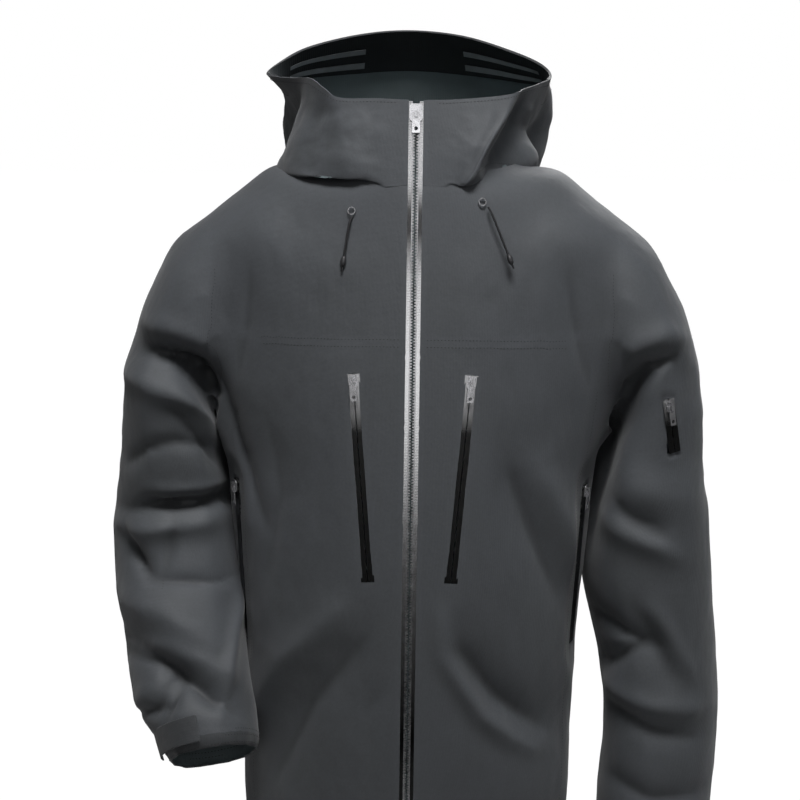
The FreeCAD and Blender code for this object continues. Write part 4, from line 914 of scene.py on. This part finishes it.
class Paint:
    """Builds a procedural material node by node."""

    def __init__(self, name, rough=0.5, metal=0.0, specular=0.5):
        self.mat = bpy.data.materials.new(name)
        self.mat.use_nodes = True
        self.tree = self.mat.node_tree
        self.shader = self.tree.nodes["Principled BSDF"]
        self.shader.inputs["Roughness"].default_value = rough
        self.shader.inputs["Metallic"].default_value = metal
        self.shader.inputs["Specular IOR Level"].default_value = specular
        self.place = self.tree.nodes.new("ShaderNodeTexCoord").outputs["Object"]
        self.height = None

    def link(self, a, b):
        """Joins two sockets."""
        self.tree.links.new(a, b)

    def node(self, kind, **inputs):
        """A new node with some inputs set; an underscore stands for a blank."""
        n = self.tree.nodes.new("ShaderNode" + kind)
        for key, value in inputs.items():
            n.inputs[key.replace("_", " ")].default_value = value
        return n

    def turned(self, turn):
        """Object coordinates, turned."""
        m = self.node("Mapping", Rotation=turn)
        self.link(self.place, m.inputs["Vector"])
        return m.outputs["Vector"]

    def noise(self, scale, detail=4.0, rough=0.55):
        """Cloudy noise."""
        tex = self.node("TexNoise", Scale=scale, Detail=detail, Roughness=rough)
        self.link(self.turned((0, 0, 0)), tex.inputs["Vector"])
        return tex.outputs["Fac"]

    def wave(self, scale, direction="Z", distort=0.0, turn=(0, 0, 0)):
        """Parallel bands."""
        tex = self.node("TexWave", Scale=scale, Distortion=distort)
        tex.wave_type, tex.bands_direction = "BANDS", direction
        self.link(self.turned(turn), tex.inputs["Vector"])
        return tex.outputs["Fac"]

    def math(self, op, a, b):
        """One sum of two sockets or numbers."""
        n = self.node("Math")
        n.operation = op
        for k, value in enumerate((a, b)):
            if isinstance(value, (int, float)):
                n.inputs[k].default_value = value
            else:
                self.link(value, n.inputs[k])
        return n.outputs[0]

    def ramp(self, fac, low, high, a=0.35, b=0.65):
        """A colour from low to high as fac goes from a to b."""
        n = self.node("ValToRGB")
        n.color_ramp.elements[0].position, n.color_ramp.elements[1].position = a, b
        n.color_ramp.elements[0].color, n.color_ramp.elements[1].color = (*low, 1), (*high, 1)
        self.link(fac, n.inputs["Fac"])
        return n.outputs["Color"]

    def blend(self, fac, a, b):
        """Two colours mixed."""
        n = self.node("Mix")
        n.data_type = "RGBA"
        self.link(fac, n.inputs[0])
        self.link(a, n.inputs[6])
        self.link(b, n.inputs[7])
        return n.outputs[2]

    def painted_fold_shading(self, value):
        """Painted shade: darker in creases, and a little lighter on ridges."""
        shape = self.node("NewGeometry").outputs["Pointiness"]
        tone = self.ramp(shape, (0.62, 0.62, 0.62), (1.0, 1.0, 1.0), 0.455, 0.51)
        n = self.node("Mix")
        n.data_type, n.blend_type = "RGBA", "MULTIPLY"
        n.inputs[0].default_value = 1.0
        self.link(value, n.inputs[6])
        self.link(tone, n.inputs[7])
        return n.outputs[2]

    def colour(self, value):
        """Sets the base colour."""
        self.link(value, self.shader.inputs["Base Color"])
        return self

    def roughness(self, fac, low, high):
        """Lets the roughness vary between two values."""
        n = self.node("MapRange", To_Min=low, To_Max=high)
        self.link(fac, n.inputs["Value"])
        self.link(n.outputs["Result"], self.shader.inputs["Roughness"])
        return self

    def bump(self, fac, strength, distance):
        """Adds fine relief on top of what is there."""
        n = self.node("Bump", Strength=strength, Distance=distance)
        self.link(fac, n.inputs["Height"])
        if self.height is not None:
            self.link(self.height, n.inputs["Normal"])
        self.height = n.outputs["Normal"]
        self.link(self.height, self.shader.inputs["Normal"])
        return self


def shaded(c, k):
    """A colour made lighter or darker."""
    return tuple(v * k for v in c)


def weave(paint, pitch, strength):
    """Plain weave: crossed threads at the given pitch in metres."""
    n = 2 * math.pi / pitch / 20
    warp = paint.wave(n, "X", 0.3, (0, 0.1, 0.6))
    weft = paint.wave(n, "Z", 0.3)
    both = paint.math("MAXIMUM", warp, weft)
    paint.bump(both, strength, 0.00025)
    return both


def fabric(name, base, rough=0.62, pitch=0.0011, tint=(1, 1, 1.06), sheen=0.15):
    """Matte laminate cloth with woven face, faint blotches, painted shade in creases and slightly lighter high spots.
    """
    p = Paint(name, rough, 0.0, 0.35)
    cloud = p.noise(5.0, 3)
    fine = p.noise(420, 2)
    tone = p.ramp(cloud, shaded(base, 0.90), tuple(c * t * 1.08 for c, t in zip(base, tint)), 0.3, 0.7)
    speck = p.ramp(fine, shaded(base, 0.86), shaded(base, 1.14), 0.3, 0.7)
    half = p.node("Value")
    half.outputs[0].default_value = 0.45
    # The base colour gets painted shade in the creases.
    p.colour(p.painted_fold_shading(p.blend(half.outputs[0], tone, speck)))
    p.roughness(p.noise(14, 4), rough - 0.08, rough + 0.10)
    p.bump(p.noise(38, 5, 0.6), 0.25, 0.0022)
    p.bump(p.noise(150, 3), 0.12, 0.0008)
    weave(p, pitch, 0.30)
    p.shader.inputs["Sheen Weight"].default_value = sheen
    p.shader.inputs["Sheen Roughness"].default_value = 0.5
    return p.mat


def backer(name, base):
    """Knit backer on the inside of the laminate, with fine ribs."""
    p = Paint(name, 0.75, 0.0, 0.25)
    p.colour(p.ramp(p.noise(9, 5), shaded(base, 0.8), shaded(base, 1.2)))
    p.bump(p.wave(160, "X", 1.5), 0.35, 0.0004)
    p.bump(p.noise(60, 4), 0.3, 0.0015)
    return p.mat


def film(name, base, rough, shine=0.0):
    """Laminated zip tape: smooth film over a fine ribbed tape."""
    p = Paint(name, rough, shine, 0.9)
    p.colour(p.ramp(p.noise(60, 4), shaded(base, 0.85), shaded(base, 1.15)))
    p.roughness(p.noise(120, 5), rough - 0.05, rough + 0.10)
    p.bump(p.wave(210, "Z", 0.6), 0.10, 0.0002)
    p.bump(p.noise(45, 4), 0.10, 0.0015)
    p.shader.inputs["Coat Weight"].default_value = 0.35
    p.shader.inputs["Coat Roughness"].default_value = 0.18
    return p.mat


def reflection_painted_film(name, stops, rough, shine):
    """Film over a zip with painted reflection: brightness over the height in metres stands in for mirrored studio
    light, dark where none would be mirrored; creases get painted shade.
    """
    p = Paint(name, rough, shine, 0.8)
    split = p.node("SeparateXYZ")
    p.link(p.place, split.inputs[0])
    n = p.node("ValToRGB")
    ends = n.color_ramp.elements
    while len(ends) < len(stops):
        ends.new(0.5)
    for k, (height, value) in enumerate(stops):
        ends[k].position, ends[k].color = height, (value, value, value * 1.02, 1)
    p.link(split.outputs["Z"], n.inputs["Fac"])
    p.colour(p.painted_fold_shading(n.outputs["Color"]))
    p.roughness(p.noise(120, 5), rough - 0.04, rough + 0.08)
    p.bump(p.wave(210, "Z", 0.6), 0.10, 0.0002)
    p.shader.inputs["Coat Weight"].default_value = 0.25
    p.shader.inputs["Coat Roughness"].default_value = 0.15
    return p.mat


def plastic(name, base, rough, shine=0.0):
    """Moulded plastic with fine spark texture and scuffs."""
    p = Paint(name, rough, shine, 0.5)
    p.colour(p.ramp(p.noise(90, 5), shaded(base, 0.85), shaded(base, 1.18)))
    p.roughness(p.noise(250, 5), rough - 0.12, rough + 0.15)
    p.bump(p.noise(900, 3), 0.2, 0.0002)
    return p.mat


def enamel(name, base, rough):
    """Painted die-cast metal, worn lighter in spots."""
    p = Paint(name, rough, 0.85, 0.6)
    wear = p.ramp(p.noise(320, 6, 0.7), (0, 0, 0), (1, 1, 1), 0.66, 0.80)
    dark = p.ramp(p.noise(70, 4), shaded(base, 0.8), shaded(base, 1.2))
    light = p.ramp(p.noise(70, 4), (0.42, 0.42, 0.43), (0.55, 0.55, 0.56))
    p.colour(p.blend(wear, dark, light))
    p.roughness(p.noise(260, 5), rough - 0.08, rough + 0.15)
    p.bump(p.noise(500, 4), 0.15, 0.0002)
    return p.mat


def braid(name, base):
    """Braided cord: two diagonal sets of strands, with painted shade in the grooves between them."""
    p = Paint(name, 0.7, 0.0, 0.3)
    one = p.wave(330, "DIAGONAL", 0.4)
    two = p.wave(330, "DIAGONAL", 0.4, (0, math.pi / 2, 0))
    both = p.math("MULTIPLY", one, two)
    # The low parts of the strand relief are painted darker: painted shade in the grooves.
    p.colour(p.ramp(both, shaded(base, 0.6), shaded(base, 1.5), 0.1, 0.8))
    p.bump(both, 0.6, 0.0004)
    return p.mat


SHELL = fabric("shell_cloth", (0.060, 0.065, 0.071))
BRIM = fabric("brim_cloth", (0.030, 0.032, 0.035), 0.6)
CUFF = fabric("cuff_cloth", (0.040, 0.043, 0.046), 0.6, 0.0014)
LINER = backer("knit_backer", (0.16, 0.195, 0.205))
DARK_LINER = backer("brim_lining", (0.016, 0.019, 0.021))
# Painted reflection on the zip tapes: light over the chest and collar, a painted shadow band under the collar fold at
# 0.655 to 0.675 m, dark towards the bottom; the pocket tapes are painted light only above about 0.5 m.
TAPE = reflection_painted_film("zip_tape_film", ((0.0, 0.010), (0.17, 0.012), (0.30, 0.44), (0.61, 0.50), (0.655, 0.05),
                                    (0.675, 0.05), (0.70, 0.38)), 0.17, 0.9)
POCKET_TAPE = reflection_painted_film("pocket_tape_film", ((0.0, 0.006), (0.465, 0.008), (0.505, 0.55), (0.56, 0.60)), 0.20, 0.6)
SEAM_TAPE = film("seam_tape_film", (0.16, 0.17, 0.18), 0.4)
TEETH = plastic("zip_teeth_plastic", (0.36, 0.36, 0.37), 0.26, 0.9)
LOCK = plastic("lock_plastic_black", (0.022, 0.022, 0.024), 0.42)
METAL = enamel("slider_enamel", (0.60, 0.60, 0.62), 0.18)
CORD_MAT = braid("cord_braid", (0.020, 0.020, 0.022))
THREAD = fabric("seam_thread", (0.030, 0.032, 0.035), 0.7, 0.0005)


def dress(ob, *materials, slot_name=None, body=None):
    """Paints a piece and lets it ride a body; slot_name, its finish, is not used."""
    ob.data.materials.clear()
    for m in materials:
        ob.data.materials.append(m)
    for f in ob.data.polygons:
        f.material_index = 0
    if body:
        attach(ob, body)
    return ob


FOLD_START, FOLD_END = (0, 0.094, 0.715), (0, 0.150, 0.851)

# Garment
garment = shaped_garment()
cloth = panels(garment)
bpy.data.objects.remove(garment)
for node, piece in cloth.items():
    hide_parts(node)
    cuff = node.startswith("cuff_band")
    cloth_modifiers(piece, 0.0016 if cuff else 0.0009)
    dress(piece, CUFF if cuff else SHELL, LINER, slot_name="cuff_fabric" if cuff else "shell_fabric", body="shell")
cloth_trees = {node: BVHTree.FromObject(o, bpy.context.evaluated_depsgraph_get()) for node, o in cloth.items()}

# Hood and collar
hood, hood_points, hood_out = hood_pieces()
for node, piece in hood.items():
    outward_faces(piece, (0, -0.005, 0.78) if node.startswith("collar") else (-0.01, 0.07, 0.76))
    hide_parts(node)
    brim = node == "hood_brim"
    dress(piece, BRIM if brim else SHELL, DARK_LINER if brim else LINER,
          slot_name="brim_fabric" if brim else ("backer_fabric" if node == "hood_base" else "shell_fabric"))
    cloth_modifiers(piece, 0.0028 if brim else 0.0010)
    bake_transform(piece, "shell", "hood", FOLD_START, FOLD_END)


def hood_line(u0, u1, v, lift, count=160):
    """A line along the hood's columns at one row share, lifted off the cloth; out is positive."""
    u = np.linspace(u0, u1, count) * HOOD_STEP
    k = np.minimum(u.astype(int), hood_points.shape[0] - 2)
    f = (u - k)[:, None]
    r = min(int(v * (HOOD_ROWS - 1)), HOOD_ROWS - 2)
    g = v * (HOOD_ROWS - 1) - r
    at = hood_points[:, r] * (1 - g) + hood_points[:, r + 1] * g
    p = at[k] * (1 - f) + at[k + 1] * f
    n = hood_out[k, r]
    return p + n * lift, n


# Two tape strips inside the brim, thread rows on the brim and the collar's top edge.
strips = []
for u0, u1 in ((7.3, 9.1), (11.0, 12.8)):
    for v0, v1 in ((0.885, 0.905), (0.935, 0.952)):
        low, n = hood_line(u0, u1, v0, -0.0034)
        high, _ = hood_line(u0, u1, v1, -0.0034)
        strips.append(grid_object("strip", np.stack([low, low * 0.55 + high * 0.45, high], 1)))
tapes = joined(strips)
tapes.name = "brim_tape_strips"
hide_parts("brim_tape")
dress(tapes, SEAM_TAPE, slot_name="laminated_tape")
cloth_modifiers(tapes, 0.0005, 0)
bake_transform(tapes, "shell", "hood", FOLD_START, FOLD_END)
rows = []
for u0, u1, v in ((0.4, 19.6, 0.965), (5.6, 14.4, 0.86), (2.7, 17.3, 0.27)):
    p, n = hood_line(u0, u1, v, 0.0004, 700)
    rows.append(list(zip(p, n)))
for u in (8.0, 12.0):
    k = int(u * HOOD_STEP)
    for side in (-1, 1):
        p = hood_points[k + side, 14:52]
        rows.append(list(zip(p + hood_out[k + side, 14:52] * 0.0004, hood_out[k + side, 14:52])))
seams = dress(stitches("hood_stitching", rows), THREAD)
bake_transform(seams, "shell", "hood", FOLD_START, FOLD_END)

# The collar's back: a soft band standing behind the neck.
angles = np.radians(np.linspace(12, 168, 61))
band = []
for a in angles:
    x, y = 0.100 * math.cos(a), 0.010 + 0.082 * math.sin(a)
    wave = 0.0016 * mnoise.noise(Vector((x * 30, y * 30, 0)))
    column = [(x * (1 - 0.04 * t) + wave, y * (1 - 0.06 * t) + wave, 0.714 + 0.060 * t) for t in np.linspace(0, 1, 13)]
    band.append(column)
back = outward_faces(grid_object("collar_back_cloth", np.array(band)), (0, 0.02, 0.745))
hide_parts("collar_back")
dress(back, SHELL, LINER, slot_name="shell_fabric", body="shell")
cloth_modifiers(back, 0.0014)

# Seam stitching over the garment
lines = []


def line(points, *parts):
    """Adds a row of stitches on the panels whose names begin with one of the parts."""
    lines.append(cloth_line([tree for node, tree in cloth_trees.items() if node.startswith(parts)], points))


BODY, ARM = ("front", "side", "back"), ("upper", "forearm", "cuff")
for side in (-1, 1):
    line([(x * side, front_y(YOKE_Z), YOKE_Z + 0.0035) for x in np.linspace(0.013, 0.17, 90)], *BODY)
    line([(x * side, front_y(YOKE_Z), YOKE_Z - 0.0035) for x in np.linspace(0.013, 0.17, 90)], *BODY)
    line([(x * side, 0.13, YOKE_Z + 0.004) for x in np.linspace(0.0, 0.17, 90)], *BODY)
    line([((ARMHOLE_X - 0.004) * side, 0.01 + 0.1 * math.cos(a), 0.56 + 0.09 * math.sin(a))
          for a in np.linspace(0, 2 * math.pi, 140)], *BODY)
    line([(x * side, front_y(0.022), 0.022) for x in np.linspace(0.013, 0.15, 100)], *BODY)
    line([(x * side, 0.12, 0.022) for x in np.linspace(0.0, 0.15, 100)], *BODY)
    line([(0.19 * side, SIDE_FRONT_Y - 0.004, z) for z in np.linspace(0.02, 0.50, 260)], *BODY)
    line([(0.19 * side, SIDE_BACK_Y + 0.004, z) for z in np.linspace(0.02, 0.50, 260)], *BODY)
    arm = LEFT_ARM if side > 0 else RIGHT_ARM
    origin, up = cuff_end(arm, side)
    a1 = up.orthogonal().normalized()
    a2 = up.cross(a1)
    for level in (CUFF_BAND - 0.003, CUFF_BAND + 0.003, 0.004):
        line([origin + up * level + (a1 * math.cos(a) + a2 * math.sin(a)) * 0.05
              for a in np.linspace(0, 2 * math.pi, 120)], *ARM)
    for off in (-0.003, 0.003):
        line([(0.246 * side, y, ELBOW_Z + off) for y in np.linspace(-0.09, 0.05, 40)], *ARM)
thread = dress(stitches("garment_stitching", lines), THREAD, body="shell")

# Soft parts that keep the CAD's shape
SOFT = [("hang_loop", 0.0006, 0.0003, 90, CORD_MAT, "cord", "shell"),
        ("hem_drawcord", 0.0009, 0.0002, 90, CORD_MAT, "cord", "shell"),
        ("wind_flap", 0.0010, 0.0007, 25, LINER, "backer_fabric", "shell")]
for side in ("left", "right"):
    SOFT.append(("cuff_tab_" + side, 0.0007, 0.0004, 60, CUFF, "cuff_fabric", "cuff_tab_" + side))
    SOFT.append(("chest_pocket_" + side, 0.0026, 0.0010, 30, LINER, "backer_fabric", "shell"))
for node, voxel, amount, scale, material, finish, body in SOFT:
    ob = softened(node, voxel, amount, scale)
    if node.startswith("chest_pocket"):
        # The bag hangs behind the creased cloth and only meets it at the zip.
        co = coords(ob)
        away = np.min([line_distance(co, low, high) for low, high in zip_lines()], axis=0)
        co[:, 1] += 0.016 * step(away, 0.008, 0.040)
        set_coords(ob, co)
    dress(ob, material, slot_name=finish, body=body)


def hood_cord(side):
    """Drawcord end leaving its eyelet, hanging in a curve to a small stopper, tip cord below it."""
    if side == "right":
        path = [(-0.060, -0.0975, 0.669), (-0.0625, -0.103, 0.662), (-0.0650, -0.106, 0.646), (-0.0672, -0.1085, 0.630)]
    else:
        path = [(0.0705, -0.0955, 0.680), (0.0745, -0.1010, 0.672), (0.0830, -0.1050, 0.652), (0.0905, -0.1085, 0.634)]
    cord = sweep("cord_%s" % side, spline(path, 50), 0.00115, 10)
    end, before = np.array(path[-1]), np.array(path[-2])
    d = (end - before) / np.linalg.norm(end - before)
    t = np.linspace(0, 1, 17)
    shape = 0.55 + 0.95 * np.sin(np.pi * np.clip(t * 1.05, 0, 1)) ** 0.5
    stop = sweep("stop_%s" % side, end + d * (t[:, None] * 0.0105 - 0.002), 0.0019, 16, shape)
    tip = sweep("tip_%s" % side, end + d * np.linspace(0.008, 0.0125, 6)[:, None], 0.001, 10)
    dress(cord, CORD_MAT)
    whole = joined([cord, tip])
    whole.name = "hood_cord_%s_braid" % side
    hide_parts("hood_cord_" + side)
    dress(whole, CORD_MAT, slot_name="cord", body="hood_cord_" + side)
    dress(stop, LOCK, slot_name="lock_plastic", body="hood_cord_" + side)
    stop.name = "hood_cord_%s_stopper" % side


for side in ("left", "right"):
    hood_cord(side)

# Hard parts keep their CAD meshes, with broken edges
HARD = {}
for node in NODES:
    if "_zip_tape" in node:
        HARD[node] = (TAPE if node.startswith("main") else POCKET_TAPE, "laminated_tape")
    elif node == "zip_coils" or node.startswith(("main_zip_teeth", "main_zip_box")):
        HARD[node] = (TEETH, "zip_plastic")
    elif node.endswith(("_slider", "_pull", "_eyelets")):
        HARD[node] = (METAL, "painted_metal")
    elif "lock" in node or "button" in node:
        HARD[node] = (LOCK, "lock_plastic")
for node, (material, finish) in HARD.items():
    ob = NODES[node]
    ob.data.materials.clear()
    ob.data.materials.append(material)
    if "teeth" in node or "tape" in node or "coil" in node:
        continue
    mod = ob.modifiers.new("edges", "BEVEL")
    mod.width, mod.segments, mod.limit_method, mod.angle_limit = 0.00022, 2, "ANGLE", math.radians(38)
    mod.harden_normals = True
    ob.data.shade_smooth()

# Floor, lights, camera
floor_mat = Paint("floor_paint", 0.85, 0.0, 0.1)
floor_mat.colour(floor_mat.ramp(floor_mat.noise(3, 2), (0.30, 0.30, 0.30), (0.34, 0.34, 0.34)))
glow = floor_mat.node("Emission", Strength=1.07)
blend_floor, seen_by = floor_mat.node("MixShader"), floor_mat.node("LightPath")
floor_mat.link(floor_mat.math("MULTIPLY", seen_by.outputs["Is Camera Ray"], 0.94), blend_floor.inputs["Fac"])
floor_mat.link(floor_mat.shader.outputs[0], blend_floor.inputs[1])
floor_mat.link(glow.outputs[0], blend_floor.inputs[2])
floor_mat.link(blend_floor.outputs[0], floor_mat.tree.nodes["Material Output"].inputs["Surface"])
floor = grid_object("floor", np.array([[(x, y, -0.012) for y in (-6, 0, 14)] for x in (-10, 0, 10)], float))
outward_faces(floor, (0, 0, -5))
dress(floor, floor_mat.mat)
floor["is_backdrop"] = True
world = bpy.data.worlds.new("studio")
bpy.context.scene.world = world
world.use_nodes = True
wt = world.node_tree
sky = wt.nodes["Background"]
sky.inputs["Color"].default_value = (1, 1, 1, 1)
sky.inputs["Strength"].default_value = 0.055
seen = wt.nodes.new("ShaderNodeBackground")
seen.inputs["Color"].default_value = (1, 1, 1, 1)
mix, ray = wt.nodes.new("ShaderNodeMixShader"), wt.nodes.new("ShaderNodeLightPath")
wt.links.new(ray.outputs["Is Camera Ray"], mix.inputs["Fac"])
wt.links.new(sky.outputs[0], mix.inputs[1])
wt.links.new(seen.outputs[0], mix.inputs[2])
wt.links.new(mix.outputs[0], wt.nodes["World Output"].inputs["Surface"])


def area(name, place, aim, size, power, tint=(1, 1, 1)):
    """A rectangular studio light looking at a point."""
    light = bpy.data.lights.new(name, "AREA")
    light.shape, light.size, light.size_y = "RECTANGLE", size[0], size[1]
    light.energy, light.color = power, tint
    ob = bpy.data.objects.new(name, light)
    bpy.context.scene.collection.objects.link(ob)
    ob.location = place
    ob.rotation_euler = (Vector(aim) - Vector(place)).to_track_quat("-Z", "Y").to_euler()
    ob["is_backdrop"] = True
    return ob


key = area("key", (0.10, -1.15, 2.9), (0, 0, 0.62), (1.1, 0.8), 13)
key.data.spread = 1.2
area("fill", (1.2, -2.8, 1.5), (0, 0, 0.5), (1.0, 0.8), 6)
area("rim_left", (2.3, 0.2, 1.6), (0.1, 0, 0.4), (0.6, 1.4), 5, (0.88, 0.93, 1.0))
area("rim_right", (-2.3, 0.3, 1.5), (-0.1, 0, 0.4), (0.6, 1.4), 2.5)
area("back", (0.8, 2.6, 2.2), (0, 0, 0.5), (1.8, 1.0), 52)


def card(name, near, far, glow_strength):
    """A reflector card between two edges given as (y, z), seen only in shiny surfaces."""
    ob = grid_object(name, np.array([[(x, *near), (x, *far)] for x in (-1.3, 1.3)]))
    paint = Paint(name + "_paint")
    light = paint.node("Emission", Strength=glow_strength)
    paint.link(light.outputs[0], paint.tree.nodes["Material Output"].inputs["Surface"])
    dress(ob, paint.mat)
    ob.visible_camera = ob.visible_diffuse = ob.visible_shadow = False
    ob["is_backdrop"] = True


card("upper_card", (-3.5, 1.86), (-3.5, 2.55), 1.9)
card("middle_card", (-3.5, 0.40), (-3.5, 1.47), 1.5)
card("black_card", (-3.4, -0.006), (-0.5, -0.006), 0.0)

CAMERA_PLACE, CAMERA_TILT, CAMERA_ROLL = (0, -1.9, 0.80), 80.3, 0.85
CAMERA_LENS, CAMERA_SHIFT = 84.6, -0.015

camera = bpy.data.objects.new("camera", bpy.data.cameras.new("camera"))
bpy.context.scene.collection.objects.link(camera)
camera.location = CAMERA_PLACE
camera.rotation_euler = (Matrix.Rotation(math.radians(CAMERA_TILT), 3, "X")
                         @ Matrix.Rotation(math.radians(CAMERA_ROLL), 3, "Z")).to_euler()
camera.data.lens, camera.data.shift_x = CAMERA_LENS, CAMERA_SHIFT
camera.data.clip_start = 0.05
bpy.context.scene.camera = camera
bpy.context.scene.view_settings.view_transform = "Standard"

sizes = {"cad": CAD_BOUNDS, "shown": [[float(c) for c in corner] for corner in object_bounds()]}
